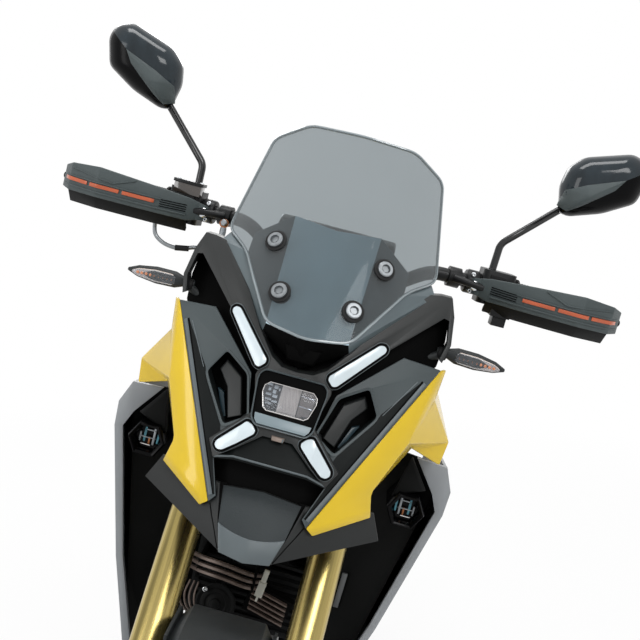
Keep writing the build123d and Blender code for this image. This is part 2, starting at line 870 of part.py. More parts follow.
def rear_caliper():
    x0 = -rear_hub_half - disc_thickness
    low, ahead = rear_axle_z, rear_axle_y
    body = block((x0 - 22, x0 + 22), (ahead - 130, ahead - 70), (low + 20, low + 90))
    slot_ends = [(x, ahead, low) for x in (x0 - 3, x0 + disc_thickness + 3)]
    slot = rod(*slot_ends, rear_disc_radius + 3)
    lug = block((-arm_x[0], x0 - 20), (ahead - 112, ahead - 80), (low + 21, low + 36))
    return body + lug - slot


def chain_loop(extra):
    rear = Pos(rear_axle_y, rear_axle_z) * Circle(sprocket_radius + extra)
    front = Pos(front_sprocket_y, front_sprocket_z) * Circle(front_sprocket_radius + extra)
    return make_hull(rear.edges() + front.edges())


def chain():
    """The drive chain as one loop around both sprockets."""
    sketch = chain_loop(chain_height / 2) - chain_loop(-chain_height / 2)
    across = Plane(origin=(chain_x - chain_width / 2, 0, 0), x_dir=(0, 1, 0), z_dir=(1, 0, 0))
    return extrude(across * sketch, amount=chain_width)


# ---------------------------------------------------------------- front body
# the face lies on one surface: flat in the middle, swept back at the sides and leaning back
face_y = -600.0
face_z = 995.0
face_flat_half = 50.0
face_side_slope = 0.42
face_up_slope = 0.4146
shell_thickness = 5.0
deep_front = 20.0  # the black panel behind the lamp cross
cup_depth = 28.0
seam = 0.5


def face_slab(front, back):
    """The layer of the face between two depths behind its surface."""
    reach, low, high = 260.0, 740.0, 1200.0
    side_y = face_side_slope * (reach - face_flat_half)
    line = [(-reach, side_y), (-face_flat_half, 0), (face_flat_half, 0), (reach, side_y)]
    foot_y = face_y + face_up_slope * (low - face_z)
    ring = [(x, foot_y + y + front, low) for x, y in line]
    ring += [(x, foot_y + y + back, low) for x, y in reversed(line)]
    return Solid.extrude(face_of(ring), Vector(0, face_up_slope * (high - low), high - low))


def front_prism(outline):
    """Everything behind an outline that is given in x and z."""
    return Solid.extrude(face_of([(x, -800, z) for x, z in outline]), Vector(0, 420, 0))


def face_plate(outline, front, back):
    """A piece of the face: its outline seen from the front, and its two depths."""
    return front_prism(outline) & face_slab(front, back)


def full_outline(half):
    """Both halves of an outline whose left half starts and ends on the middle plane."""
    return half + [(-x, z) for x, z in reversed(half) if x != 0]


def grown(outline, factor):
    middle_x = sum(x for x, z in outline) / len(outline)
    middle_z = sum(z for x, z in outline) / len(outline)
    return [(middle_x + (x - middle_x) * factor, middle_z + (z - middle_z) * factor) for x, z in outline]


def windscreen():
    """A bent clear sheet with cut corners and stepped lower sides."""
    slope = math.radians(screen_slope_deg)
    up = Vector(0, math.sin(slope), math.cos(slope))
    base = Plane(origin=Vector(*screen_foot) - up * 60, x_dir=(1, 0, 0), z_dir=up)
    centre = base * Pos(0, screen_bend_radius, 0)
    band = centre * Circle(screen_bend_radius) - centre * Circle(screen_bend_radius - screen_thickness)
    sheet = extrude(band, amount=520)
    holes = [rod(spot - out * 10, spot + out * 10, bolt_shank_radius) for spot, out in bolt_places()]
    return (sheet & front_prism(full_outline(screen_outline))) - both(Compound(holes))


screen_outline = [(0, 1044), (58, 1051), (116, 1129), (154, 1149), (128, 1288), (79, 1319), (0, 1322)]


def bolt_places():
    """Where each bolt meets the front of the screen, and the way out of the screen."""
    slope = math.radians(screen_slope_deg)
    places = []
    for x, z in screen_bolt_spots:
        sag = screen_bend_radius - math.sqrt(screen_bend_radius**2 - x * x)
        y = screen_foot[1] + (z - screen_foot[2]) * math.tan(slope) + sag / math.cos(slope)
        out = Vector(0, -math.cos(slope), math.sin(slope)) + Vector(x / screen_bend_radius, 0, 0)
        places.append((Vector(x, y, z), out.normalized()))
    return places


screen_bolt_spots = [(76.5, 1151.0), (50.5, 1090.0)]
bolt_head_radius = 11.0
bolt_shank_radius = 4.0
bolt_shank_reach = 13.7


def screen_bolts():
    """Round bolt heads on the screen, and the bushes between screen and cowl."""
    bolts = []
    for spot, out in bolt_places():
        head = rod(spot + out * 0.8, spot + out * 6, bolt_head_radius)
        shank = rod(spot - out * bolt_shank_reach, spot + out * 1, bolt_shank_radius)
        bolts.append(head + shank)
    return both(Compound(bolts))


cowl_points = {
    "top_mid": (0, -527, 1185), "top": (62, -513, 1190), "side": (112, -511, 1152), "step": (112, -532, 1126),
    "corner": (57, -602.6, 1047), "mid": (0, -615, 1041),
    "v_side": (60, -587.6, 1034), "v_low": (0, -591, 996),
    "cheek": (156, -507.5, 1130), "ear": (148, -488, 1143),
}
cowl_facets = [
    "top_mid top corner mid", "top side step corner", "corner step cheek v_side", "step ear cheek",
    "mid corner v_side v_low",
]


def mirrored_set(points, facets):
    """Adds the right-hand twin of each point and facet."""
    names = {name: name if p[0] == 0 else name + "_r" for name, p in points.items()}
    every = dict(points)
    for name, p in points.items():
        every[names[name]] = (-p[0], p[1], p[2])
    twins = [" ".join(names[n] for n in reversed(facet.split())) for facet in facets]
    return every, facets + twins


def screen_cowl():
    """The inner cover behind the screen, with the black V under it."""
    points, facets = mirrored_set(cowl_points, cowl_facets)
    sheet = folded(points, facets, (0, shell_thickness, 0))
    return sheet - cross_form() - screen_bolts() - windscreen()


# outlines of the face, seen from the front: x and z of the left half
cross_outline = [
    (0, 995), (22, 997), (38, 1007), (64, 1037), (95, 1079), (149, 1132), (165, 1134.5), (181, 1134),
    (190, 1109), (195, 1071), (188, 1046), (183, 1049), (189, 1072), (184, 1103), (176, 1105), (104, 1041),
    (49.5, 988), (52, 979), (40, 936), (88, 885), (76, 866), (20, 909), (0, 909),
]
lens_outline = [(0, 940), (19, 940), (30.5, 943.5), (37, 969), (31, 976), (0, 976)]
light_outlines = [
    [(103.7, 1045.5), (94.4, 1051.5), (38.7, 1002), (50, 991)],
    [(44, 923), (31.5, 912.5), (70, 879), (79, 885)],
]
pocket_outline = [(75, 862), (70, 880), (46, 922), (59, 977), (135, 1041)]
cup_outline = [(119, 960), (100, 993), (64, 974), (48, 925), (76, 905), (114, 952)]
deep_outline = [
    (0, 1030), (45, 1030), (62, 1044), (92, 1084), (146, 1130), (178, 1130), (185, 1105), (188, 1071),
    (184, 1036), (70, 828), (0, 828),
]
panel_tip = (190.0, -525.0, 1034.0)
panel_foot = (66.0, -669.0, 812.0)
cross_front = -10.0


def cross_form():
    return face_plate(full_outline(cross_outline), cross_front, deep_front - seat_gap)


def lamp_cross():
    """The four arms and the centre frame that carry the lamps."""
    window = face_plate(full_outline(lens_outline), cross_front - 1, deep_front)
    return cross_form() - window - light_bars()


def headlamp():
    """The central projector lamp."""
    return face_plate(full_outline(lens_outline), cross_front + 5, deep_front - seat_gap)


def light_bars():
    """Four pale bars that make the cross of the face."""
    bars = [face_plate(outline, cross_front - 2, cross_front + 8) for outline in light_outlines]
    return both(Compound(bars))


def seam_line():
    """The edge that the nose keeps along the yellow panel, in x and z."""
    run_x, run_z = panel_tip[0] - panel_foot[0], panel_tip[2] - panel_foot[2]
    length = math.hypot(run_x, run_z)
    step_x, step_z = -run_z / length * seam, run_x / length * seam
    return [(p[0] + step_x, p[2] + step_z) for p in (panel_tip, panel_foot)]


# the shelf over the mouth: rows of x, then y and z around its section
tray_rings = [
    (20, [(-612, 909), (-640, 909), (-656, 877), (-656, 871), (-630, 868)]),
    (50, [(-620, 887), (-648, 887), (-656, 877), (-656, 871), (-630, 868)]),
    (76, [(-616, 871), (-638, 870.5), (-650, 869), (-650, 864), (-618, 863)]),
]


def tray():
    rings = [[(x, y, z) for y, z in section] for x, section in tray_rings]
    mirrored = [[(-x, y, z) for x, y, z in ring] for ring in reversed(rings)]
    return rib_solid(mirrored + rings)


def nose_shell():
    """Pocket panels, their hollow cups, the black panel behind and the shelf."""
    pocket = face_plate(seam_line() + [(58, 822)] + pocket_outline, 0, shell_thickness)
    cup = face_plate(grown(cup_outline, 1.1), 0, cup_depth + 4)
    hollow = face_plate(cup_outline, -1, cup_depth)
    deep = face_plate(full_outline(deep_outline), deep_front, deep_front + shell_thickness)
    shell = deep + pocket + other_side(pocket) + cup + other_side(cup) + tray()
    return shell - hollow - other_side(hollow) - cross_form() - screen_bolts()


beak_points = {
    "floor_mid": (0, -652, 838), "floor": (53, -652, 833),
    "lip": (44, -691, 795), "lip_mid": (0, -699, 794), "chin": (33, -706, 766), "chin_mid": (0, -713, 763),
}
beak_facets = ["floor_mid floor lip lip_mid", "lip_mid lip chin chin_mid"]
beak_side_points = {
    "mouth": (58, -657.2, 836), "lip": (45, -690, 795), "chin": (33.6, -705, 766),
    "corner": (165, -600, 798), "upper": (150, -590, 830), "inner": (72, -657, 808),
}
beak_side_facets = [
    "mouth lip inner", "inner lip chin", "inner chin corner", "inner corner upper", "mouth inner upper",
]


def beak():
    """The lip and floor of the mouth, and the dark lower panels beside them."""
    points, facets = mirrored_set(beak_points, beak_facets)
    middle = folded(points, facets, (0, 6, 0)) - nose_shell()
    side = folded(beak_side_points, beak_side_facets, (0, 6, 0)) - nose_shell()
    return Compound([*middle.solids(), *both(side).solids()])


def side_panel():
    """The yellow panel, from its upper tip to the beak and back to the tank."""
    points = {
        "tip": (*panel_tip, 0, 5, 0), "tip_out": (199, -513, 1035, -3, 5, 0),
        "foot_in": (*panel_foot, 0, 5, 0), "foot_out": (76, -665, 803, 0, 5, 0),
        "elbow_low": (146, -604, 828, 0, 5, 0), "elbow": (138, -604, 861, -3, 5, 0),
        "notch": (183, -502, 911, -5, 3, 0), "wing": (231, -472, 890, -5, 2, 0),
        "swell": (235, -470, 926, -5, 2, 0), "upper": (196, -503, 987, -5, 3, 0),
        "tank_low": (238, -300, 900), "tank_high": (204, -300, 985), "crease": (172, -560, 930, -3, 5, 0),
        "end_low": (140.3, -60, 900), "end_high": (140.3, -60, 948),
    }
    facets = [
        "tip foot_in crease", "foot_in foot_out elbow_low", "foot_in elbow_low elbow", "foot_in elbow crease",
        "crease elbow notch", "tip crease upper", "tip upper tip_out",
        "crease notch swell", "crease swell upper",
        "notch wing swell", "swell wing tank_low", "swell tank_low tank_high", "swell tank_high upper",
        "tank_low end_low end_high tank_high",
    ]
    return folded(points, facets, (-5, 0, 0)) - fuel_tank()


shroud_front = {
    "top": (252, -404, 872), "brow": (267, -404, 836), "cheek": (265, -402, 797), "waist": (240, -398, 700),
    "shin": (214, -398, 590), "toe": (164, -402, 430),
}
# the broad front edge of the cover: its inner side in x and z, from the toe up to the top
shroud_brim = [(152, 434), (203, 592), (229, 702), (252, 799), (240, 826), (204, 874)]
brim_front = -406.0
brim_depth = 9.0


def shroud():
    """The grey outer cover of the radiator, with a broad front edge."""
    back = {"back_top": (240, -180, 860), "back_mid": (230, -190, 700), "back_low": (160, -240, 450)}
    facets = [
        "top brow back_top", "brow cheek back_top", "cheek waist back_mid back_top", "waist shin back_mid",
        "shin toe back_low back_mid",
    ]
    edge = [(x, z) for x, y, z in shroud_front.values()] + shroud_brim
    brim = Solid.extrude(face_of([(x, brim_front, z) for x, z in edge]), Vector(0, brim_depth, 0))
    return folded({**shroud_front, **back}, facets, (-5, 0, 0)) + brim


def shroud_inner():
    """The black duct inside the grey cover, around the fog lamp, and its wall beside the cooler."""
    points = {name: (x - 6, y + 2, z - 1) for name, (x, y, z) in shroud_front.items()}
    points |= {
        "in_top": (160, -345, 866), "in_mid": (156, -345, 700), "in_low": (136, -350, 440),
        "wall_top": (95, -330, 780), "wall_mid": (95, -330, 700), "wall_low": (95, -330, 450),
    }
    facets = [
        "top brow in_top", "brow cheek in_top", "cheek waist in_mid in_top", "waist shin in_mid",
        "shin toe in_low in_mid", "in_top in_mid wall_mid wall_top", "in_mid in_low wall_low wall_mid",
    ]
    return folded(points, facets, (0, 5, 0)) - shroud() - fog_lamp()


fog_outline = [(175, 797), (189, 823), (221, 823), (236, 797), (221, 771), (189, 771)]
fog_front_y = -438.0
fog_back_y = -352.0


def fog_lamp():
    """A six-sided housing that points ahead."""
    front = face_of([(x, fog_front_y, z) for x, z in fog_outline])
    return Solid.extrude(front, Vector(0, fog_back_y - fog_front_y, 0))


cross_bar_y = -505.0
cross_bar_z = 1035.0
cross_bar_half = 150.0


def cross_bar():
    """The tube across the back of the nose, with a front lamp at each end."""
    return rod((-cross_bar_half, cross_bar_y, cross_bar_z), (cross_bar_half, cross_bar_y, cross_bar_z), 9)


def winkers():
    """A lamp on a short stalk at each side of the nose and of the tail."""
    knee = (192, -500, 1057)
    start = (cross_bar_half + seat_gap, cross_bar_y, cross_bar_z)
    front = rod(start, knee, 6) + rod(knee, (272, -490, 1053), 11)
    front = front - nose_shell() - cross_form() - cross_bar()
    rear = rod((70, 800, 840), (165, 812, 840), 11) - tail_form()
    return Compound([*both(front).solids(), *both(rear).solids()])


def instrument():
    return Pos(0, -462, 1140) * Rot(30, 0, 0) * Box(170, 26, 100)


stay_along = 1030.0
stay_width = 46.0
stay_height = 30.0
stay_reach = 173.0


def nose_stay():
    """The beam from the head tube to the nose, with the posts of instrument and lamps."""
    start = fork_point(0, -head_tube_radius + 6, stay_along)
    ahead = Vector(0, -math.cos(rake), math.sin(rake))
    section = Plane(origin=start, x_dir=(1, 0, 0), z_dir=ahead) * Rectangle(stay_width, stay_height)
    beam = extrude(section, amount=stay_reach)
    post = rod((0, -512, 1000), (0, -460, 1124), 10)
    head, bore = head_tube()
    return beam + post + cross_bar() - head - nose_shell() - instrument()


def stand_axis():
    splay = math.radians(stand_splay_deg)
    return Vector(math.cos(splay), 0, math.sin(splay))


def stand_direction():
    splay = math.radians(stand_splay_deg)
    ahead = math.radians(stand_forward_deg)
    return Vector(math.sin(splay) * math.cos(ahead), -math.sin(ahead), -math.cos(splay) * math.cos(ahead))


floor_normal = Vector(-math.sin(lean), 0, math.cos(lean))


def side_stand():
    """Leg and foot; the flat foot lies on the floor of the leaning motorcycle."""
    pivot = Vector(*stand_pivot)
    leg_way = stand_direction()
    height = pivot.dot(floor_normal) - floor_z
    length = (height - stand_foot_thickness) / -leg_way.dot(floor_normal)
    ankle = pivot + leg_way * length
    leg = rod(pivot, ankle, stand_leg_radius)
    eye = rod(pivot - stand_axis() * stand_eye_half, pivot + stand_axis() * stand_eye_half, 20)
    sole = Plane(origin=ankle - floor_normal * stand_foot_thickness, x_dir=(0, 1, 0), z_dir=floor_normal)
    foot = extrude(sole * RectangleRounded(74, 46, 14), amount=stand_foot_thickness)
    ankle_block = extrude(sole * Circle(17), amount=stand_foot_thickness + 10)
    below = extrude(Plane(origin=sole.origin, z_dir=floor_normal) * Rectangle(400, 400), amount=-60)
    return leg + eye + foot + ankle_block - below


def stand_bracket():
    """The lug on the frame that the side stand turns on."""
    pivot = Vector(*stand_pivot)
    inner = rod(pivot - stand_axis() * (stand_eye_half + seat_gap), pivot - stand_axis() * 23, 20)
    arm = block((90, 132), (85, 125), (200, 262))
    return inner + arm


# ---------------------------------------------------------------- the whole motorcycle
def build():
    """Every sub-part, upright, by name."""
    y, z = front_axle.Y, front_axle.Z
    return {
        "front_tyre": tyre(front_tyre_radius, front_tyre_width, front_rim_radius, y, z),
        "front_rim": cast_wheel(front_rim_radius, front_rim_width, front_hub_half, y, z, disc_carrier_radius),
        "front_disc": brake_disc(front_disc_radius, 40, front_hub_half, y, z),
        "rear_tyre": tyre(rear_tyre_radius, rear_tyre_width, rear_rim_radius, rear_axle_y, rear_axle_z),
        "rear_rim": cast_wheel(
            rear_rim_radius, rear_rim_width, rear_hub_half, rear_axle_y, rear_axle_z, disc_carrier_radius
        ),
        "rear_disc": brake_disc(
            rear_disc_radius, 40, -rear_hub_half - disc_thickness, rear_axle_y, rear_axle_z
        ),
        "rear_sprocket": rear_sprocket(),
        "fork_outer_tubes": fork_outer_tubes(),
        "fork_inner_tubes": fork_inner_tubes(),
        "fork_feet": fork_feet(),
        "upper_clamp": upper_clamp(),
        "lower_clamp": lower_clamp(),
        "handlebar": handlebar(),
        "grips": grips(),
        "bar_controls": both(bar_controls_half()),
        "hand_guards": both(hand_guard()),
        "guard_mounts": guard_mounts(),
        "mirror_stems": both(mirror_stem()),
        "mirror_heads": both(mirror_head()),
        "front_fender": front_fender(),
        "front_caliper": front_caliper(),
        "frame": frame(),
        "crankcase": crankcase(),
        "engine_covers": engine_covers(),
        "cylinder": cylinder(),
        "cylinder_head": cylinder_head(),
        "exhaust_pipe": exhaust_pipe(),
        "silencer": silencer(),
        "oil_cooler": oil_cooler(),
        "skid_plate": skid_plate(),
        "swingarm": swingarm(),
        "rear_shock": rear_shock(),
        "footpegs": footpegs(),
        "fuel_tank": fuel_tank(),
        "seat": seat(),
        "subframe": subframe(),
        "tail_cowl": tail_cowl(),
        "rear_rack": rear_rack(),
        "tail_lamp": tail_lamp(),
        "rear_fender": rear_fender(),
        "rear_caliper": rear_caliper(),
        "chain": chain(),
        "windscreen": windscreen(),
        "screen_bolts": screen_bolts(),
        "screen_cowl": screen_cowl(),
        "nose_shell": nose_shell(),
        "lamp_cross": lamp_cross(),
        "beak": beak(),
        "side_panels": both(side_panel()),
        "shrouds": both(shroud()),
        "shroud_inners": both(shroud_inner()),
        "fog_lamps": both(fog_lamp()),
        "headlamp": headlamp(),
        "light_bars": light_bars(),
        "winkers": winkers(),
        "instrument": instrument(),
        "nose_stay": nose_stay(),
        "side_stand": side_stand(),
    }


upright = build()
leaned = {name: Rot(0, lean_deg, 0) * shape for name, shape in upright.items()}
whole = Compound(list(leaned.values())).bounding_box()
parked_shift = Vector(-whole.center().X, -whole.center().Y, -floor_z)


def parked(point):
    """Where an upright point lies on the parked motorcycle."""
    x, y, z = point
    turned = (x * math.cos(lean) + z * math.sin(lean), y, z * math.cos(lean) - x * math.sin(lean))
    return Vector(*turned) + parked_shift


os.makedirs("parts", exist_ok=True)
for name, shape in leaned.items():
    export_step(Pos(*parked_shift) * shape, f"parts/{name}.step")
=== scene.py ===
"""The visual model of the parked adventure motorcycle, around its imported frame."""

import json
import math

import bmesh
import bpy
from mathutils import Matrix, Vector
from mathutils.bvhtree import BVHTree

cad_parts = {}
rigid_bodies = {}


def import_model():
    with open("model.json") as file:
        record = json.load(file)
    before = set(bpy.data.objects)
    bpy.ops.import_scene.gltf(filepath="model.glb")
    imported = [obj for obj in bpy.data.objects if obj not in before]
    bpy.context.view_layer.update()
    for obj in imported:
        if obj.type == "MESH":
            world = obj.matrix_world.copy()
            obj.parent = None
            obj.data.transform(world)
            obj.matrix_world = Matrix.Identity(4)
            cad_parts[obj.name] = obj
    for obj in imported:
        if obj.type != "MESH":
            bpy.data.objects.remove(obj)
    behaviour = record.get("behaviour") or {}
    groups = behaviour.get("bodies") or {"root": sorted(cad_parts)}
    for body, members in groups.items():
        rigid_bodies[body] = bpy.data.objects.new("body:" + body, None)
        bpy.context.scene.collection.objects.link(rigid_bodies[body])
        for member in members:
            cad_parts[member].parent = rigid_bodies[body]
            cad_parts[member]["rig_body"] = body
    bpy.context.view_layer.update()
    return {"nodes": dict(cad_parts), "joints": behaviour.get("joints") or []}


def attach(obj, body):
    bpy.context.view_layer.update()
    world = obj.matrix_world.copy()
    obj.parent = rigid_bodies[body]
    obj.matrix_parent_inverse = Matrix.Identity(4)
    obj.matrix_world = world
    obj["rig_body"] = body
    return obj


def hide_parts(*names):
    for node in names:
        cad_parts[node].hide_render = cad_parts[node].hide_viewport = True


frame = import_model()
nodes = frame["nodes"]
joints = {joint["name"]: joint for joint in frame["joints"]}

# ------------------------------------------------------------------ placing
# every shape is written upright, in millimetres, and PARK leans it and puts it on the floor
LEAN = math.radians(12.0)
RAKE = math.radians(26.0)
STEER_FOOT_Y = -840.0
STEER_UP = Vector((0, math.sin(RAKE), math.cos(RAKE)))
STEER_AHEAD = Vector((0, -math.cos(RAKE), math.sin(RAKE)))
TUBE_X, TUBE_BACK = 105, -35
FRONT_RADIUS, REAR_RADIUS = 329.0, 321
AXLE_BACK = -46.0


def fork_point(x, back, along):
    """A point given sideways, back from the steering axis and along it."""
    y = STEER_FOOT_Y + along * math.sin(RAKE) + back * math.cos(RAKE)
    return Vector((x, y, along * math.cos(RAKE) - back * math.sin(RAKE)))


AXLE_ALONG = (FRONT_RADIUS + AXLE_BACK * math.sin(RAKE)) / math.cos(RAKE)
FRONT_AXLE = fork_point(0, AXLE_BACK, AXLE_ALONG)
tilt = Matrix.Rotation(LEAN, 4, "Y")
shift = Vector(joints["front_wheel_spin"]["pos_m"]) - tilt @ (FRONT_AXLE / 1000)
PARK = Matrix.Translation(shift) @ tilt @ Matrix.Scale(0.001, 4)
UNPARK = PARK.inverted()
REAR_AXLE = UNPARK @ Vector(joints["rear_wheel_spin"]["pos_m"])


# ------------------------------------------------------------------ materials
GRAIN_DEPTH_M = 0.0006
COAT_ROUGH = 0.04
LEAST_ROUGH = 0.02
HAZE_SCALE = 9.0


def linear(rgb):
    """Colour values of 0 to 255 as linear light."""
    shares = [c / 255 for c in rgb]
    return [c / 12.92 if c <= 0.04045 else ((c + 0.055) / 1.055) ** 2.4 for c in shares]


def shader_nodes(owner):
    """Empties the owner's shader; the function returned adds a node with its settings, values and links."""
    owner.use_nodes = True
    tree = owner.node_tree
    tree.nodes.clear()

    def add(kind, inputs=(), **settings):
        node = tree.nodes.new("ShaderNode" + kind)
        for key, value in settings.items():
            setattr(node, key, value)
        for key, value in dict(inputs).items():
            if isinstance(value, bpy.types.NodeSocket):
                tree.links.new(value, node.inputs[key])
            else:
                node.inputs[key].default_value = value
        return node

    return add


def material(name, rgb, rough, metal=0.0, coat=0.0, grain=0.0, grain_mm=0.8, vary=0.06, patch_mm=60.0,
             rough_vary=0.06, alpha=1.0, glow=0.0, stretch=(1, 1, 1), turn=(0, 0, 0), sheen=0.0, spec=0.5):
    """A procedural finish: fine grain in the bump, and slow change in colour and gloss."""
    mat = bpy.data.materials.new(name)
    add = shader_nodes(mat)
    base = linear(rgb)
    where = add("TexCoord").outputs["Object"]
    fit = add("Mapping", {0: where, "Scale": stretch, "Rotation": turn}, vector_type="TEXTURE").outputs[0]
    noise = {"Vector": fit, "Scale": 1000.0 / patch_mm, "Detail": 5.0}
    patch = add("TexNoise", noise).outputs["Fac"]
    ramp = add("ValToRGB", {0: patch})
    darker, lighter = ramp.color_ramp.elements
    darker.position, lighter.position = 0.3, 0.7
    darker.color = [max(0, c * (1 - vary)) for c in base] + [1]
    lighter.color = [min(1, c * (1 + vary)) for c in base] + [1]
    least, most = max(LEAST_ROUGH, rough - rough_vary), min(1.0, rough + rough_vary)
    spread = add("MapRange", {"Value": patch, "To Min": least, "To Max": most})
    values = {"Base Color": ramp.outputs[0], "Roughness": spread.outputs[0], "Metallic": metal,
              "Coat Weight": coat, "Coat Roughness": COAT_ROUGH, "Alpha": alpha, "Specular IOR Level": spec,
              "Sheen Weight": sheen}
    if grain:
        fine = add("TexNoise", {"Vector": fit, "Scale": 1000.0 / grain_mm, "Detail": 3.0}).outputs["Fac"]
        bump = add("Bump", {"Height": fine, "Strength": grain, "Distance": GRAIN_DEPTH_M})
        values["Normal"] = bump.outputs[0]
    if glow:
        values.update({"Emission Color": base + [1], "Emission Strength": glow})
    add("OutputMaterial", {0: add("BsdfPrincipled", values).outputs[0]})
    return mat


def clear_sheet(name, rgb, clear):
    """Clear plastic as a thin sheet: see-through, with a glossy face."""
    mat = bpy.data.materials.new(name)
    add = shader_nodes(mat)
    base = linear(rgb)
    haze = add("TexNoise", {"Vector": add("TexCoord").outputs["Object"], "Scale": HAZE_SCALE})
    tint = add("ValToRGB", {0: haze.outputs["Fac"]})
    tint.color_ramp.elements[0].color = [c * 0.96 for c in base] + [1]
    tint.color_ramp.elements[1].color = base + [1]
    see = add("BsdfTransparent", {"Color": tint.outputs[0]})
    gloss = add("BsdfPrincipled", {"Base Color": base + [1], "Roughness": 0.03, "Coat Weight": 1.0})
    edge = add("LayerWeight", {"Blend": 0.12})
    more = add("MapRange", {"Value": edge.outputs["Facing"], "To Min": 1.0 - clear, "To Max": 0.85})
    mix = add("MixShader", {0: more.outputs[0], 1: see.outputs[0], 2: gloss.outputs[0]})
    add("OutputMaterial", {0: mix.outputs[0]})
    return mat


# metals and paints
# strong colour change drawn out along the fork tubes: painted reflection streaks on the gold
GOLD = material("gold_anodised", (170, 153, 96), 0.27, metal=1, grain=0.08, grain_mm=0.5, vary=0.6,
                patch_mm=14, stretch=(1, 1, 40), turn=(-RAKE, LEAN, 0))
STEEL = material("bright_steel", (196, 199, 202), 0.24, metal=1, grain=0.05, vary=0.04)
DISC = material("brushed_disc", (165, 166, 168), 0.34, metal=1, grain=0.25, grain_mm=0.5)
PIPE = material("heated_pipe", (150, 142, 130), 0.36, metal=1, grain=0.1, vary=0.22, patch_mm=90)
CAST = material("cast_alloy", (98, 100, 101), 0.5, metal=0.8, grain=0.5, grain_mm=1.2, vary=0.1)
BOLT = material("bolt_steel", (136, 140, 143), 0.42, metal=0.85, grain=0.05, vary=0.1, patch_mm=6)
COPPER = material("copper_fitting", (140, 92, 62), 0.4, metal=1, grain=0.1)
CHAIN = material("chain_steel", (104, 98, 88), 0.42, metal=1, grain=0.3, vary=0.25, patch_mm=12)
# pale brown grey of painted highlight on the fins between the fork legs
FIN_HIGHLIGHT = material("fin_painted_highlight", (104, 91, 84), 0.45, metal=0.4, grain=0.3, vary=0.2, patch_mm=14)
BLACK_METAL = material("black_paint", (22, 23, 24), 0.38, metal=0.3, grain=0.2, grain_mm=1, vary=0.12,
                       spec=0.3)
FRAME_BLACK = material("frame_paint", (20, 21, 22), 0.26, coat=0.4, grain=0.1, vary=0.1, spec=0.3)
YELLOW = material("yellow_gloss", (218, 184, 24), 0.24, coat=0.3, grain=0.03, grain_mm=3, vary=0.04,
                  rough_vary=0.04, spec=0.35)

# plastics, rubber and the seat's cover
PLASTIC = material("grained_plastic", (33, 36, 37), 0.52, grain=0.55, grain_mm=0.9, vary=0.1, spec=0.3)
GUARD_GREY = material("guard_plastic", (68, 76, 77), 0.5, grain=0.5, grain_mm=0.9, vary=0.08, spec=0.3)
# the face plastic in two copies: first as light falls on it, then with painted shade for faces turned away
# and for shallow recesses
FACE_GREY = material("face_plastic", (64, 72, 74), 0.44, grain=0.4, vary=0.07, spec=0.35)
FACE_SHADE = material("face_painted_shade", (19, 22, 22), 0.46, grain=0.4, vary=0.09, spec=0.1)
CROSS_GREY = material("cross_plastic", (33, 35, 35), 0.42, grain=0.4, vary=0.08, spec=0.35)
BEAK_SIDE = material("beak_side", (30, 32, 32), 0.5, grain=0.5, grain_mm=0.9, vary=0.1, spec=0.3)
MOUTH_FLOOR = material("mouth_floor", (38, 44, 46), 0.56, grain=0.8, grain_mm=2.2, vary=0.1, spec=0.3)
# pale grey of painted highlight, for raised rims, edges and the mouth's lip
EDGE_HIGHLIGHT = material("painted_edge_highlight", (84, 92, 95), 0.4, grain=0.2, vary=0.1, spec=0.4)
# near-black: its own black on some parts, and painted shade in recesses, in the cups' floors and at the foot
# of the V under the screen
BLACK_AND_SHADE = material("black_and_painted_shade", (6, 6, 6), 0.7, grain=0.2, vary=0.2, spec=0.05)
INNER_BLACK = material("duct_black", (12, 13, 13), 0.6, grain=0.4, grain_mm=1, vary=0.15, spec=0.12)
GLOSS_BLACK = material("gloss_black", (7, 7, 8), 0.1, coat=0.7, vary=0.1, rough_vary=0.03, spec=0.4)
COWL = material("cowl_blue_grey", (84, 95, 99), 0.36, coat=0.1, grain=0.12, vary=0.12, patch_mm=120,
                spec=0.4)
# the cowl's middle front: a glowing pale grey of painted light and painted reflection
COWL_PAINTED_GLOW = material("cowl_painted_light", (196, 218, 228), 0.3, coat=0.1, grain=0.1, vary=0.16, patch_mm=90,
                      glow=0.16, spec=0.4)
GREY = material("grey_panel", (140, 144, 148), 0.4, coat=0.2, grain=0.25, grain_mm=1, vary=0.05)
WHITE_PLUG = material("white_plug", (206, 206, 196), 0.4, grain=0.1)
ORANGE = material("orange_strip", (184, 84, 44), 0.34, coat=0.3, grain=0.1, vary=0.14, patch_mm=20,
                  stretch=(4, 1, 1))
SMOKE = material("smoke_cup", (54, 46, 40), 0.14, coat=1, vary=0.15)
TYRE = material("tyre_rubber", (30, 30, 31), 0.78, grain=0.6, grain_mm=1.6, vary=0.16, patch_mm=35)
RUBBER = material("rubber", (20, 20, 21), 0.7, grain=0.5, grain_mm=1, vary=0.12, spec=0.3)
SEAT = material("seat_cover", (33, 33, 35), 0.58, grain=0.9, grain_mm=2.2, vary=0.14, patch_mm=25, sheen=0.15)

# lamps, mirrors and clear pieces
LIGHT = material("light_bar", (196, 207, 212), 0.24, coat=0.4, vary=0.05, patch_mm=30, glow=0.12)
AMBER = material("amber_lens", (214, 122, 56), 0.18, coat=1, vary=0.05, glow=0.2)
RED = material("red_lens", (150, 16, 14), 0.16, coat=1, vary=0.08)
PEACH = material("lens_base", (232, 214, 200), 0.3, coat=0.6, patch_mm=8)
CHROME = material("reflector", (206, 204, 202), 0.12, metal=1, vary=0.05)
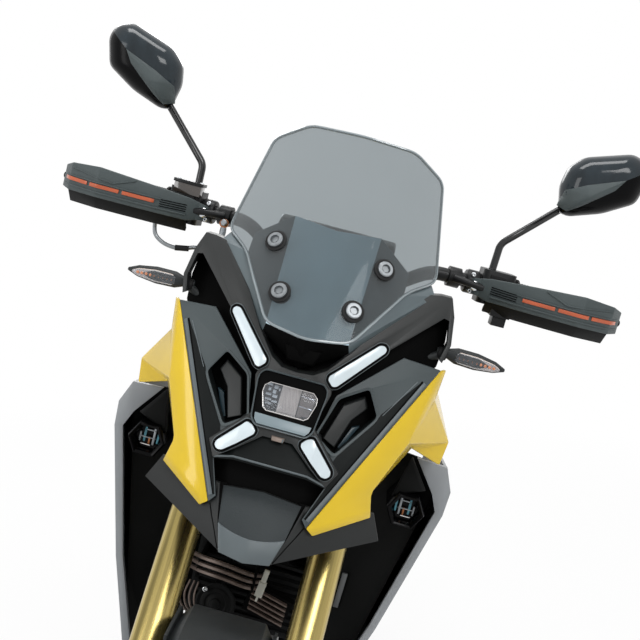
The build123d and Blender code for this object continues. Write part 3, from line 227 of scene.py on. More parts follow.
# glow on the headlamp's reflector, brown parts and cells and on the blank tab: painted light for their shaded
# inside; the reflector's drawn-out streaks are painted reflection
REFLECTOR = material("reflector_painted_streaks", (196, 188, 182), 0.3, metal=0.15, vary=0.32, patch_mm=1.6,
                     stretch=(1, 8, 14), glow=0.3)
LAMP_BROWN = material("lamp_brown", (112, 100, 92), 0.4, grain=0.3, vary=0.16, patch_mm=8, glow=0.3)
CELL = material("lamp_cell", (190, 194, 196), 0.2, coat=0.5, vary=0.2, patch_mm=4, glow=0.25)
SILL = material("lamp_sill", (118, 132, 138), 0.34, grain=0.1, vary=0.1, patch_mm=30, stretch=(6, 1, 1))
# blue of a painted glint in the fog lamps
BLUE_GLINT = material("painted_blue_glint", (44, 104, 118), 0.1, metal=0.6, coat=0.6, vary=0.3, patch_mm=10)
CUP_GLINT = material("cup_glint", (34, 52, 60), 0.3, vary=0.2, spec=0.3)
MIRROR_BLACK = material("mirror_black", (5, 5, 6), 0.22, vary=0.1, rough_vary=0.03, spec=0.08)
# blue-grey painted reflection for the upper half of the mirrors' shells
MIRROR_PAINTED_REFLECTION = material("mirror_painted_reflection", (34, 42, 47), 0.12, vary=0.3, patch_mm=26, stretch=(1, 1, 3),
                       spec=0.28)
MIRROR = material("mirror_glass", (200, 208, 214), 0.03, metal=1, vary=0.02, rough_vary=0.01)
SCREEN_EDGE = material("screen_edge", (150, 160, 164), 0.12, coat=0.6, vary=0.12, alpha=0.75)
SCREEN = clear_sheet("clear_screen", (196, 201, 203), 0.94)
LENS = clear_sheet("clear_lens", (235, 238, 242), 0.93)


# ------------------------------------------------------------------ mesh tools
MERGE_M = 2e-5
FLAT_DEG = 2.0
ROUND_STEPS = 2
LEAST_RADIUS = 0.02


def smooth_line(points, steps=6):
    """A smooth curve through points."""
    pts = [Vector(p) for p in points]
    pts = [pts[0] * 2 - pts[1]] + pts + [pts[-1] * 2 - pts[-2]]
    line = []
    for p0, p1, p2, p3 in zip(pts, pts[1:], pts[2:], pts[3:]):
        for step in range(steps):
            t = step / steps
            line.append(0.5 * ((2 * p1) + (p2 - p0) * t + (2 * p0 - 5 * p1 + 4 * p2 - p3) * t * t
                               + (3 * p1 - p0 - 3 * p2 + p3) * t ** 3))
    return line + [pts[-2]]


def soft(outline, radius, steps=4):
    """The outline with its corners rounded."""
    line = []
    for i, corner in enumerate(outline):
        here = Vector(corner)
        before, after = Vector(outline[i - 1]) - here, Vector(outline[(i + 1) % len(outline)]) - here
        cut = min(radius, before.length * 0.45, after.length * 0.45)
        a, b = here + before.normalized() * cut, here + after.normalized() * cut
        for step in range(steps + 1):
            t = step / steps
            line.append(tuple(a * (1 - t) ** 2 + here * 2 * t * (1 - t) + b * t * t))
    return line


def offset(outline, width):
    """The outline moved outward, or inward for a negative width."""
    count = len(outline)
    area = sum(outline[i - 1][0] * outline[i][1] - outline[i][0] * outline[i - 1][1] for i in range(count))
    side = 1 if area > 0 else -1
    line = []
    for i in range(count):
        p, q, r = Vector(outline[i - 1]), Vector(outline[i]), Vector(outline[(i + 1) % count])
        a, b = (q - p).normalized() * side, (r - q).normalized() * side
        out_a, out_b = Vector((a.y, -a.x)), Vector((b.y, -b.x))
        line.append(tuple(q + (out_a + out_b) / (1 + out_a.dot(out_b)) * width))
    return line


def grown(outline, share):
    """The outline scaled about its middle."""
    middle_x = sum(x for x, z in outline) / len(outline)
    middle_z = sum(z for x, z in outline) / len(outline)
    return [(middle_x + (x - middle_x) * share, middle_z + (z - middle_z) * share) for x, z in outline]


def divided(outline, count=6):
    """The outline with points added along each edge."""
    return [(a[0] + (b[0] - a[0]) * step / count, a[1] + (b[1] - a[1]) * step / count)
            for a, b in zip(outline, outline[1:] + outline[:1]) for step in range(count)]


def circle(radius, count, start=0.0):
    """Evenly spaced points of a circle, as pairs."""
    turns = [i * 2 * math.pi / count + start for i in range(count)]
    return [(radius * math.cos(t), radius * math.sin(t)) for t in turns]


def level(outline, z):
    """An outline of x and y at a height."""
    return [(x, y, z) for x, y in outline]


def facing(outline, y):
    """An outline of x and z at a place along the motorcycle."""
    return [(x, y, z) for x, z in outline]


def square_to(way):
    """Two directions square to a direction and to each other."""
    way = Vector(way).normalized()
    side = way.cross(Vector((0, 0, 1)) if abs(way.z) < 0.9 else Vector((1, 0, 0))).normalized()
    return side, way.cross(side).normalized()


def heading_at(line, i):
    """The direction of a line at one of its points."""
    return (line[min(i + 1, len(line) - 1)] - line[max(i - 1, 0)]).normalized()


def new_piece(name, mesh, mats):
    """An object of the scene with its finish or list of finishes."""
    piece = bpy.data.objects.new(name, mesh)
    bpy.context.scene.collection.objects.link(piece)
    for mat in mats if isinstance(mats, list) else [mats]:
        mesh.materials.append(mat)
    return piece


def finish_piece(piece, bevel, angle, smooth, subdivide=0):
    """Rounds the edges, settles the mesh and sets its shading."""
    if bevel:
        rounding = piece.modifiers.new("round", "BEVEL")
        rounding.width = bevel / 1000
        rounding.segments = ROUND_STEPS
        rounding.limit_method = "ANGLE"
        rounding.angle_limit = math.radians(angle)
        rounding.use_clamp_overlap = True
        rounding.miter_outer = "MITER_ARC"
    if subdivide:
        finer = piece.modifiers.new("finer", "SUBSURF")
        finer.levels = finer.render_levels = subdivide
    if bevel or subdivide:
        graph = bpy.context.evaluated_depsgraph_get()
        settled = bpy.data.meshes.new_from_object(piece.evaluated_get(graph))
        piece.modifiers.clear()
        piece.data = settled
    piece.data.polygons.foreach_set("use_smooth", [True] * len(piece.data.polygons))
    piece.data.set_sharp_from_angle(angle=math.radians(smooth))


class Form:
    """A mesh written in upright millimetres, with a material number for each face."""

    def __init__(self):
        self.verts, self.faces, self.marks = [], [], []

    def loft(self, rings, mark=0, caps=True, closed=False):
        """Joins rings of points; the ends are capped, or joined to each other when closed."""
        start, count = len(self.verts), len(rings[0])
        self.verts += [Vector(v) for ring in rings for v in ring]
        faces = []
        for r in range(len(rings) if closed else len(rings) - 1):
            a, b = start + r * count, start + (r + 1) % len(rings) * count
            for i in range(count):
                j = (i + 1) % count
                faces.append((a + i, a + j, b + j, b + i))
        if caps and not closed:
            last = len(self.verts) - count
            faces.append(tuple(start + i for i in range(count))[::-1])
            faces.append(tuple(last + i for i in range(count)))
        self.faces += faces
        self.marks += [mark] * len(faces)
        return self

    def swept(self, ring, way, mark=0):
        """A ring of points drawn out in a direction."""
        return self.loft([ring, [p + Vector(way) for p in ring]], mark)

    def lathe(self, start, way, profile, sides=32, mark=0, caps=True):
        """Rings about an axis, from pairs of distance along and radius."""
        start, way = Vector(start), Vector(way).normalized()
        side, up = square_to(way)
        rings = []
        for along, radius in profile:
            middle = start + way * along
            radius = max(radius, LEAST_RADIUS)
            rings.append([middle + (side * a + up * b) * radius for a, b in circle(1, sides)])
        return self.loft(rings, mark, caps)

    def tube(self, line, radius, sides=12, mark=0):
        """A round bar along a line."""
        line = [Vector(p) for p in line]
        side, up = square_to(line[1] - line[0])
        rings = []
        for i, p in enumerate(line):
            way = heading_at(line, i)
            side = (side - way * side.dot(way)).normalized()
            up = way.cross(side)
            rings.append([p + (side * a + up * b) * radius for a, b in circle(1, sides)])
        return self.loft(rings, mark)

    def ball(self, centre, radius, mark=0):
        """A ball, made of rings from its foot to its top."""
        turns = [math.pi * i / 8 for i in range(9)]
        profile = [(-radius * math.cos(t), radius * math.sin(t)) for t in turns]
        return self.lathe(centre, (0, 0, 1), profile, 16, mark)

    def box(self, centre, size, mark=0, turn=()):
        """A box; turn is a rotation as three angles in degrees."""
        matrix = Matrix.Identity(3)
        for angle, axis in zip(turn, "XYZ"):
            matrix = Matrix.Rotation(math.radians(angle), 3, axis) @ matrix
        wide, deep, high = [s / 2 for s in size]
        rings = [[Vector(centre) + matrix @ Vector(corner)
                  for corner in level([(-wide, -deep), (wide, -deep), (wide, deep), (-wide, deep)], z)]
                 for z in (-high, high)]
        return self.loft(rings, mark)

    def bolt(self, spot, way, radius, mark=0, height=4.0):
        """A round head with a hexagon socket."""
        spot, way = Vector(spot), Vector(way).normalized()
        head = [(-1, radius), (height * 0.7, radius), (height, radius * 0.8), (height, radius * 0.52)]
        socket = [(height, radius * 0.52), (height * 0.35, radius * 0.5), (height * 0.35, 0.1)]
        self.lathe(spot, way, head, 20, mark, caps=False)
        return self.lathe(spot, way, socket, 6, mark, caps=False)

    def mirrored(self):
        """Adds the right-hand twin."""
        start = len(self.verts)
        self.verts += [Vector((-v.x, v.y, v.z)) for v in self.verts]
        self.faces += [tuple(start + i for i in face[::-1]) for face in self.faces]
        self.marks += self.marks
        return self

    def parted(self, a, b, mark, sides):
        """Cuts the faces of one mark along a line a-b of the x,z plane and marks the two sides anew."""
        side = [(b.x - a.x) * (v.z - a.y) - (b.y - a.y) * (v.x - a.x) for v in self.verts]
        faces, marks = [], []
        for face, old in zip(self.faces, self.marks):
            if old != mark:
                faces.append(face)
                marks.append(old)
                continue
            loops = ([], [])
            for i, j in zip(face, face[1:] + face[:1]):
                if side[i] >= 0:
                    loops[0].append(i)
                if side[i] <= 0:
                    loops[1].append(i)
                if side[i] * side[j] < 0:
                    self.verts.append(self.verts[i].lerp(self.verts[j], side[i] / (side[i] - side[j])))
                    side.append(0.0)
                    loops[0].append(len(side) - 1)
                    loops[1].append(len(side) - 1)
            for loop, new in zip(loops, sides):
                if len(loop) > 2 and any(side[i] for i in loop):
                    faces.append(tuple(loop))
                    marks.append(new)
        self.faces, self.marks = faces, marks

    def make(self, name, mats, body, bevel=0.0, angle=30, smooth=35, replaces=(), slot=None, subdivide=0):
        """Makes the piece and says on which body it rides and which nodes it stands for."""
        mesh = bpy.data.meshes.new(name)
        mesh.from_pydata([PARK @ v for v in self.verts], [], self.faces)
        piece = new_piece(name, mesh, mats)
        for face, mark in zip(mesh.polygons, self.marks):
            face.material_index = mark
        work = bmesh.new()
        work.from_mesh(mesh)
        bmesh.ops.remove_doubles(work, verts=work.verts, dist=MERGE_M)
        bmesh.ops.recalc_face_normals(work, faces=work.faces)
        work.to_mesh(mesh)
        work.free()
        finish_piece(piece, bevel, angle, smooth, subdivide)
        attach(piece, body)
        if replaces:
            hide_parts(*replaces)
        return piece


def skin(node, mats, bevel, pick=None):
    """A copy of a CAD node with rounded edges, which stands for it."""
    source = nodes[node]
    mesh = source.data.copy()
    mesh.materials.clear()
    piece = new_piece(node + "_skin", mesh, mats)
    work = bmesh.new()
    work.from_mesh(mesh)
    bmesh.ops.remove_doubles(work, verts=work.verts, dist=MERGE_M)
    bmesh.ops.dissolve_degenerate(work, edges=work.edges, dist=MERGE_M)
    bmesh.ops.dissolve_limit(work, angle_limit=math.radians(FLAT_DEG), verts=work.verts, edges=work.edges)
    work.to_mesh(mesh)
    work.free()
    unlean = tilt.inverted().to_3x3()
    for face in mesh.polygons:
        face.material_index = pick(UNPARK @ face.center, unlean @ face.normal) if pick else 0
    finish_piece(piece, bevel, angle=25, smooth=40)
    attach(piece, source["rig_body"])
    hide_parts(node)


# ------------------------------------------------------------------ CAD skins
SKINS = [
    # node, finish, rounding in mm
    ("fork_outer_tubes", GOLD, 1.5), ("fork_inner_tubes", STEEL, 0.6), ("fork_feet", CAST, 2.5),
    ("upper_clamp", BLACK_METAL, 2.0), ("lower_clamp", BLACK_METAL, 2.5), ("handlebar", BLACK_METAL, 0),
    ("bar_controls", BLACK_METAL, 1.4), ("guard_mounts", BLACK_METAL, 1.0), ("mirror_stems", FRAME_BLACK, 0),
    ("front_fender", PLASTIC, 1.2), ("front_caliper", BLACK_METAL, 3.0), ("frame", FRAME_BLACK, 1.0),
    ("crankcase", CAST, 6.0), ("engine_covers", BLACK_METAL, 6.0), ("cylinder", BLACK_METAL, 1.0),
    ("cylinder_head", BLACK_METAL, 1.0), ("exhaust_pipe", PIPE, 0), ("silencer", BLACK_METAL, 2.5),
    ("oil_cooler", INNER_BLACK, 1.0), ("skid_plate", CAST, 1.2), ("swingarm", CAST, 3.0),
    ("rear_shock", BLACK_METAL, 2.0), ("footpegs", BLACK_METAL, 1.5), ("subframe", FRAME_BLACK, 0),
    ("tail_cowl", PLASTIC, 1.2), ("rear_rack", BLACK_METAL, 1.5), ("rear_fender", PLASTIC, 1.5),
    ("rear_caliper", BLACK_METAL, 3.0), ("front_rim", BLACK_METAL, 1.5), ("rear_rim", BLACK_METAL, 1.5),
    ("front_disc", DISC, 0.5), ("rear_disc", DISC, 0.5), ("rear_sprocket", DISC, 0.8),
    ("nose_stay", BLACK_METAL, 1.0), ("side_stand", BLACK_METAL, 1.5), ("shrouds", GREY, 1.6),
    ("shroud_inners", INNER_BLACK, 1.2), ("side_panels", YELLOW, 1.8), ("hand_guards", GUARD_GREY, 1.6),
    ("lamp_cross", CROSS_GREY, 1.6), ("instrument", GLOSS_BLACK, 5.0),
]
for node, mat, rounding in SKINS:
    skin(node, mat, rounding)

FACE_Y, FACE_Z, FOLD_X = -600, 995, 50
FACE_SWEEP, FACE_SLOPE = 0.42, 0.4146


def face_y(x, z, depth=0.0):
    """The face's surface: flat in the middle, folded at FOLD_X and swept back at the sides."""
    return FACE_Y + FACE_SWEEP * max(abs(x) - FOLD_X, 0) + FACE_SLOPE * (z - FACE_Z) + depth


def cowl_finish(middle, way):
    """Painted light, a glowing pale grey, in the middle of the front; black behind, and black at the foot
    that is partly painted shade under the screen.
    """
    if way.y < -0.2 and abs(middle.x) < 60 and middle.z > 1050:
        return 2
    if middle.z < 1041 and middle.y < -580 and abs(middle.x) < 58:
        return 1
    return 1 if way.y > 0.2 else 0


def nose_finish(middle, way):
    """Grey on the surface; painted shade: dark at the chin, on steep sides that face down and just below the
    surface, and black deeper.
    """
    depth = middle.y - face_y(middle.x, middle.z)
    if middle.z < 912 and abs(middle.x) < 77 and middle.y < -632 and depth < 15:
        return 2
    if depth < 7:
        return 0 if way.z > -0.2 or abs(way.x) < 0.5 else 2
    return 2 if depth < 18 and abs(middle.x) < 125 and middle.z > 900 else 1


def beak_finish(middle, way):
    """The mouth's floor, told apart from the sides."""
    return 1 if abs(middle.x) < 50 and way.y < -0.3 else 0


skin("screen_cowl", [COWL, BLACK_AND_SHADE, COWL_PAINTED_GLOW], 1.2, cowl_finish)
skin("nose_shell", [FACE_GREY, BLACK_AND_SHADE, FACE_SHADE], 1.4, nose_finish)
skin("beak", [BEAK_SIDE, MOUTH_FLOOR], 1.8, beak_finish)


# ------------------------------------------------------------------ face
LIGHTS = [
    # the upper and the lower bar of one side
    [(98.5, 1053), (105, 1053), (108.5, 1049.5), (108, 1045), (56, 991), (50.5, 990), (43, 997),
     (43.5, 1002)],
    [(45, 922), (37, 919.5), (31, 913), (32, 909), (67, 879), (74, 878), (78.5, 882), (77.5, 887)],
]
LENS_LINE = [(-38, 962), (-37, 971), (-30, 977), (30, 977), (37, 971), (38, 962), (32, 943), (26, 939),
             (-26, 939), (-32, 943)]
BEZEL = [(-48, 975), (-47, 984), (-40, 990.5), (40, 990.5), (47, 984), (48, 975), (42.5, 929), (35, 920.5),
         (-35, 920.5), (-42.5, 929)]
SILL_LINE = [(-38.5, 935.5), (38.5, 934.5), (37, 928), (32.5, 923.4), (-32.5, 923.4), (-37, 928)]
SILL_DEPTHS = (-12.3, -12.3, -14, -15.4, -15.4, -14)
PANEL = [(14.5, 974), (28, 974), (34.5, 969), (34.5, 961), (29.5, 943), (14.5, 941)]
# middle, width and height of each cell of the lamp
CELLS = [(-30, 970, 7, 3), (-21, 968, 6, 4), (-29, 964, 4, 4), (-22, 962, 5, 4.5), (-16, 966, 2.5, 3),
         (-29, 957.5, 8, 2.5), (-20, 956.5, 7, 3.5), (-28, 951.5, 9, 2), (-19, 950, 8, 2),
         (-26, 946.5, 9, 1.6)]
CUP = [(119, 960), (100, 993), (64, 974), (48, 925), (76, 905), (114, 952)]
FIN = [(104, 966), (97.5, 980), (71, 966), (56, 921), (74, 911), (87, 948)]
GLINT = [(95, 932), (100, 941), (90, 938), (78, 911), (82, 908)]
WEDGE = [(167, 1014), (123.5, 964), (118, 951), (79.5, 902.5), (73, 884), (76.8, 863), (60.5, 824),
         (62, 824)]
BAR_STEP = 4


def on_face(outline, depth):
    """An outline of x and z at a depth behind the face's surface."""
    return [(x, face_y(x, z, depth), z) for x, z in outline]


def plate(form, outline, front, back, mark=0, inset=0.0):
    """A piece of the face between two depths; its front may be set in from its outline."""
    small = offset(outline, -inset) if inset else outline
    return form.loft([on_face(small, front), on_face(outline, back)], mark)


def folded_bar(form, outline, front, back, mark=0):
    """A bar of the face, cut across at many places, so that it follows the face's fold."""
    places = sorted({round(x, 3) for x, z in outline} | {float(FOLD_X)})
    stations = [places[0]]
    for a, b in zip(places, places[1:]):
        count = max(1, round((b - a) / BAR_STEP))
        stations += [a + (b - a) * (i + 1) / count for i in range(count)]
    rings = []
    for x in stations:
        heights = []
        for (xa, za), (xb, zb) in zip(outline, outline[1:] + outline[:1]):
            if min(xa, xb) - 1e-3 <= x <= max(xa, xb) + 1e-3:
                heights += [za, zb] if abs(xb - xa) < 1e-3 else [za + (zb - za) * (x - xa) / (xb - xa)]
        if heights:
            ends = [(x, min(heights)), (x, max(heights))]
            rings.append(on_face(ends, front) + on_face(ends[::-1], back))
    return form.loft(rings, mark)


def frame_ring(form, inner, outer, front, back, mark=0, sink=0.0):
    """A rim between two outlines; its inner edge may be sunk."""
    inner, outer = divided(inner), divided(outer)
    rings = [on_face(outer, back), on_face(outer, front), on_face(inner, front + sink), on_face(inner, back)]
    return form.loft(rings, mark, closed=True)


def front_of(*names):
    """The named CAD nodes, to be met by rays from ahead."""
    verts, faces = [], []
    for name in names:
        matrix, mesh = UNPARK @ nodes[name].matrix_world, nodes[name].data
        start = len(verts)
        verts += [matrix @ v.co for v in mesh.vertices]
        faces += [[start + i for i in face.vertices] for face in mesh.polygons]
    return BVHTree.FromPolygons(verts, faces)


FACE_TREE = front_of("nose_shell", "lamp_cross", "beak")
AHEAD_Y = -1200
LARGEST_JUMP = 14


def laid_band(form, line, half, lift, sunk, mark=0, spacing=6.0, taper=0.0):
    """A strip of a given half width that lies on the face along a line of x and z."""
    stops = [Vector(line[0])]
    for a, b in zip(line, line[1:]):
        a, b = Vector(a), Vector(b)
        count = max(1, round((b - a).length / spacing))
        stops += [a + (b - a) * (i + 1) / count for i in range(count)]
    rings, last_y = [], None
    for i, stop in enumerate(stops):
        way = heading_at(stops, i)
        across = Vector((-way.y, way.x)) * (half * (1 - taper * i / (len(stops) - 1)))
        spot = FACE_TREE.ray_cast(Vector((stop.x, AHEAD_Y, stop.y)), Vector((0, 1, 0)))[0]
        y = spot.y if spot and (last_y is None or abs(spot.y - last_y) < LARGEST_JUMP) else last_y
        if y is None:
            continue
        last_y = y
        ends = [stop + across, stop - across]
        rings.append(facing(ends, y - lift) + facing(ends[::-1], y + sunk))
    return form.loft(rings, mark)


# light bars, each in a black bezel with a pale outer ring of painted highlight
bars, bezels = Form(), Form()
for outline in LIGHTS:
    folded_bar(bars, soft(outline, 3.0), -13.4, -3)
    frame_ring(bezels, soft(offset(outline, 0.7), 3.4), soft(offset(outline, 3.4), 5), -13.0, -8)
    frame_ring(bezels, soft(offset(outline, 3.2), 5), soft(offset(outline, 4.4), 6), -11.6, -8, 1)
bars.mirrored().make("light_bar_lenses", LIGHT, "chassis", bevel=0.5, angle=40, replaces=["light_bars"],
                     slot="lamp_white")
bezels.mirrored().make("light_bezels", [BLACK_AND_SHADE, EDGE_HIGHLIGHT], "chassis", bevel=0.4)

# the projector lamp: raised rim of painted highlight, black border, pale sill, reflector with painted streaks
# of reflection, panel, cells and clear cover; reflector, panel and cells glow as painted light
lamp = Form()
frame_ring(lamp, soft(offset(BEZEL, -1.6), 4), soft(BEZEL, 5), -16.0, -8, 0, 2.5)
frame_ring(lamp, LENS_LINE, offset(BEZEL, -1.8), -12.0, -6, 4)
frame_ring(lamp, offset(LENS_LINE, -0.6), LENS_LINE, -11.4, 12, 4)
frame_ring(lamp, offset(LENS_LINE, -1.9), offset(LENS_LINE, -0.7), -10.4, 10, 2)
sill_front = [(x, face_y(x, z, depth), z) for (x, z), depth in zip(SILL_LINE, SILL_DEPTHS)]
lamp.loft([sill_front, on_face(SILL_LINE, -9)], 3)
plate(lamp, LENS_LINE, 11, 12.5, 4)
for i in range(26):
    x = -13 + i
    depth = -3.5 + 5.0 * abs(math.sin(i * 0.55)) * (0.35 + i / 50)
    rib = [(x, 8), (x + 0.15, depth + 0.8), (x + 0.5, depth), (x + 0.95, depth + 0.9), (x + 1, 8)]
    lamp.loft([[(a, face_y(a, z, d), z) for a, d in rib] for z in (941, 975 - 0.12 * i)], 5)
plate(lamp, PANEL, -2, 8, 6)
for z0, z1 in ((966.4, 967.6), (953.6, 954.8)):
    plate(lamp, [(15, z0), (33, z0 - 1), (33, z1 - 1), (15, z1)], -3, 0, 2)
for x, z, wide, high in CELLS:
    a, b = wide / 2, high / 2
    plate(lamp, [(x - a, z - b), (x + a, z - b), (x + a, z + b), (x - a, z + b)], 1, 6, 7, 0.6)
lamp.make("headlamp_inside", [EDGE_HIGHLIGHT, GLOSS_BLACK, CHROME, SILL, BLACK_AND_SHADE, REFLECTOR, LAMP_BROWN, CELL],
          "chassis", bevel=0.35, replaces=["headlamp"], slot="lamp_glass")
glass = Form()
plate(glass, offset(LENS_LINE, -0.8), -9.0, -7.6, 0, 0.6)
glass.make("headlamp_glass", LENS, "chassis", bevel=0.5, slot="lamp_glass")

# hexagon cups: soft rim, black floor of painted shade, raised blade and a small painted glint
cups = Form()
frame_ring(cups, soft(CUP, 5), soft(offset(CUP, 3.2), 7), -2.4, 2.0, 0, 1.6)
plate(cups, offset(CUP, -0.6), 26.5, 27.9, 1)
cups.loft([[(x, face_y(x, z, depth + (x - 56) * 0.07), z) for x, z in line]
           for line, depth in ((offset(FIN, -1.6), 5.5), (FIN, 8.0))] + [on_face(FIN, 27)], 2)
plate(cups, GLINT, 17, 26, 3)
cups.mirrored().make("pocket_cups", [FACE_GREY, BLACK_AND_SHADE, CROSS_GREY, CUP_GLINT], "chassis", bevel=0.8)

# block in the V under the screen, its black partly painted shade from the screen above, and the slotted blank
# tab below the lamp, which glows as painted light and has a slot of painted highlight
vee = Form()
vee.loft([[(-24, -604, 1027), (24, -604, 1027), (17, -599, 1007), (-17, -599, 1007)],
          [(-28, -596, 1031), (28, -596, 1031), (19, -591, 1004), (-19, -591, 1004)]])
vee.make("vee_block", BLACK_AND_SHADE, "chassis", bevel=1.2)
tab = Form()
plate(tab, [(-9, 913), (9, 913), (8, 907), (-8, 907)], -12.6, -9, 0, 0.6)
plate(tab, [(6, 912.4), (8.2, 912.4), (7.4, 907.6), (5.6, 907.6)], -13.2, -9, 1)
tab.make("blank_tab", [LAMP_BROWN, EDGE_HIGHLIGHT], "chassis", bevel=0.4)

# dark lines, and pale lines of painted highlight: along the yellow panels, beside the mouth, beside the cups
# and on the shelf
SEAM_FOOT = Vector((66.0, 812.0))
SEAM_WAY = Vector((124.0, 222.0)).normalized()
SEAM_IN = Vector((-SEAM_WAY.y, SEAM_WAY.x))
trim = Form()
for inward, half, lift, mark in ((9.2, 1.6, 0.8, 1), (5.4, 2.5, 2.2, 0)):
    line = [SEAM_FOOT + SEAM_WAY * along + SEAM_IN * inward for along in (2, 228)]
    laid_band(trim, line, half, lift, 2.0, mark)
laid_band(trim, [(63, 810), (48.5, 788), (34.5, 765)], 1.1, 0.5, 1.5, 1, 4.0)
trim.loft([[(49, -648, 836), (66, -650, 836), (66, -640, 836), (49, -640, 836)],
           [(40, -685, 797), (54, -676, 797), (54, -660, 797), (40, -672, 797)]], 1)
laid_band(trim, [(162, 1014), (126, 963)], 0.9, 0.9, 1.5, 0, 5.0, 0.3)
trim.mirrored()
trim.tube([(-76, -650.5, 867), (-50, -657, 875.5), (50, -657, 875.5), (76, -650.5, 867)], 1.5, 10)
trim.make("face_edges", [EDGE_HIGHLIGHT, BLACK_AND_SHADE], "chassis", bevel=0.3)

# the lip of the mouth, lighter with painted highlight, with its curved upper edge
LIP_HALF_TOP, LIP_HALF_FOOT = 44.5, 33.5
LIP_BEND_Z = 794
lip = Form()
rings = []
for i in range(17):
    u = -1 + i / 8
    top_z = 789.5 + 7.5 * abs(u) ** 2.2
    if top_z < LIP_BEND_Z:
        top_y = -701.0 + 8.0 * abs(u)
    else:
        top_y = -699 + (top_z - LIP_BEND_Z) * 47 / 44 + 4.5 * abs(u)
    low_y, low_z = -713.2 + 6.6 * abs(u), 762.2 + 3.2 * abs(u)
    top_x, low_x = LIP_HALF_TOP * u, LIP_HALF_FOOT * u
    rings.append([(top_x, top_y - 1.4, top_z), (low_x, low_y - 1.4, low_z), (low_x, low_y + 2, low_z),
                  (top_x, top_y + 3, top_z)])
lip.loft(rings)
lip.make("mouth_lip", EDGE_HIGHLIGHT, "chassis", bevel=0.8, smooth=50)

# the dark facet of painted shade that opens from a point towards each cup and runs down beside it
wedge = Form()
plate(wedge, WEDGE, -0.8, 1)
wedge.mirrored().make("pocket_wedge_shades", FACE_SHADE, "chassis", bevel=0.3)

# ------------------------------------------------------------------ screen
SLOPE = math.radians(29.6)
SCREEN_BEND = 205.0
SCREEN_MIDDLE_Z = 1185
SCREEN_LINE = [(0, 1044), (58, 1051), (116, 1129), (154, 1149), (128, 1288), (79, 1319), (0, 1322)]
SCREEN_STEP = 9


def screen_point(x, z, lift=0.0):
    """A point on the front of the screen, lifted off it, and the way out of the screen there."""
    sag = SCREEN_BEND - math.sqrt(SCREEN_BEND * SCREEN_BEND - x * x)
    y = -635 + (z - 1020) * math.tan(SLOPE) + sag / math.cos(SLOPE)
    flat_out = Vector((0, -math.cos(SLOPE), math.sin(SLOPE)))
    out = (flat_out + Vector((x / SCREEN_BEND, 0, 0))).normalized()
    return Vector((x, y, z)) + out * lift, out


bolts = Form()
for x, z in ((76.5, 1151.0), (50.5, 1090.0)):
    spot, out = screen_point(x, z, 0.6)
    bolts.lathe(spot, out, [(0, 15.5), (1.6, 15.5), (2.4, 14), (2.4, 11.6), (0.4, 11.4)], 32, 1, caps=False)
    bolts.lathe(spot, out, [(0.5, 11), (5.0, 11), (6.4, 9.8), (6.4, 6.2)], 32, caps=False)
    bolts.lathe(spot, out, [(6.4, 6.2), (3.2, 5.4), (3.2, 0.1)], 6, caps=False)
    bolts.lathe(spot - out * 4.2, out, [(-9, 13), (-0.6, 13), (-0.2, 11)], 28, 1)
bolts.mirrored().make("screen_bolt_sets", [BOLT, RUBBER], "chassis", smooth=30, replaces=["screen_bolts"],
                      slot="bright_steel")

outline = soft(SCREEN_LINE + [(-x, z) for x, z in SCREEN_LINE[-2:0:-1]], 12, 6)
fine = []
for (xa, za), (xb, zb) in zip(outline, outline[1:] + outline[:1]):
    count = max(1, round(math.hypot(xb - xa, zb - za) / SCREEN_STEP))
    fine += [(xa + (xb - xa) * step / count, za + (zb - za) * step / count) for step in range(count)]
sheet = Form()
shares = [0.03, 0.25, 0.45, 0.65, 0.82, 0.93, 1.0]
rings = []
for lift, steps in ((-3.9, shares), (-0.1, shares[::-1])):
    for share in steps:
        spots = [(x * share, SCREEN_MIDDLE_Z + (z - SCREEN_MIDDLE_Z) * share) for x, z in fine]
        rings.append([screen_point(x, z, lift)[0] for x, z in spots])
sheet.loft(rings)
sheet.make("screen_sheet", SCREEN, "chassis", smooth=50, replaces=["windscreen"], slot="clear_screen")
edge = Form()
edge.tube([screen_point(x, z, -2.0)[0] for x, z in fine + fine[:1]], 2.2, 8)
edge.make("screen_edge_line", SCREEN_EDGE, "chassis", slot="clear_screen")

# ------------------------------------------------------------------ hand guards
GUARD = [
    # x, front, low edge, high edge
    (229.0, -342.0, 1134.0, 1162.0), (244.0, -350.0, 1130.0, 1166.0), (300.0, -373.0, 1131.0, 1172.0),
    (385.0, -382.0, 1131.0, 1178.0), (436.0, -354.0, 1130.0, 1173.0), (456.0, -320.0, 1131.0, 1166.0),
]
ORANGE_LOW, ORANGE_HIGH = 1145.4, 1151.2


def guard_front(x):
    """Front of the hand guard at a distance from the middle."""
    for a, b in zip(GUARD, GUARD[1:]):
        if x <= b[0] or b is GUARD[-1]:
            return a[1] + (b[1] - a[1]) * (x - a[0]) / (b[0] - a[0])


def guard_band(form, x0, x1, z0, z1, out, into, mark=0, steps=8, lean_z=0.0):
    """A raised band on the guard between two distances and two heights, which may climb by lean_z."""
    rings = []
    for step in range(steps + 1):
        x = x0 + (x1 - x0) * step / steps
        y = guard_front(x)
        low, high = z0 + lean_z * step / steps, z1 + lean_z * step / steps
        rings.append([(x, y - out, low), (x, y - out, high), (x, y + into, high), (x, y + into, low)])
    return form.loft(rings, mark)


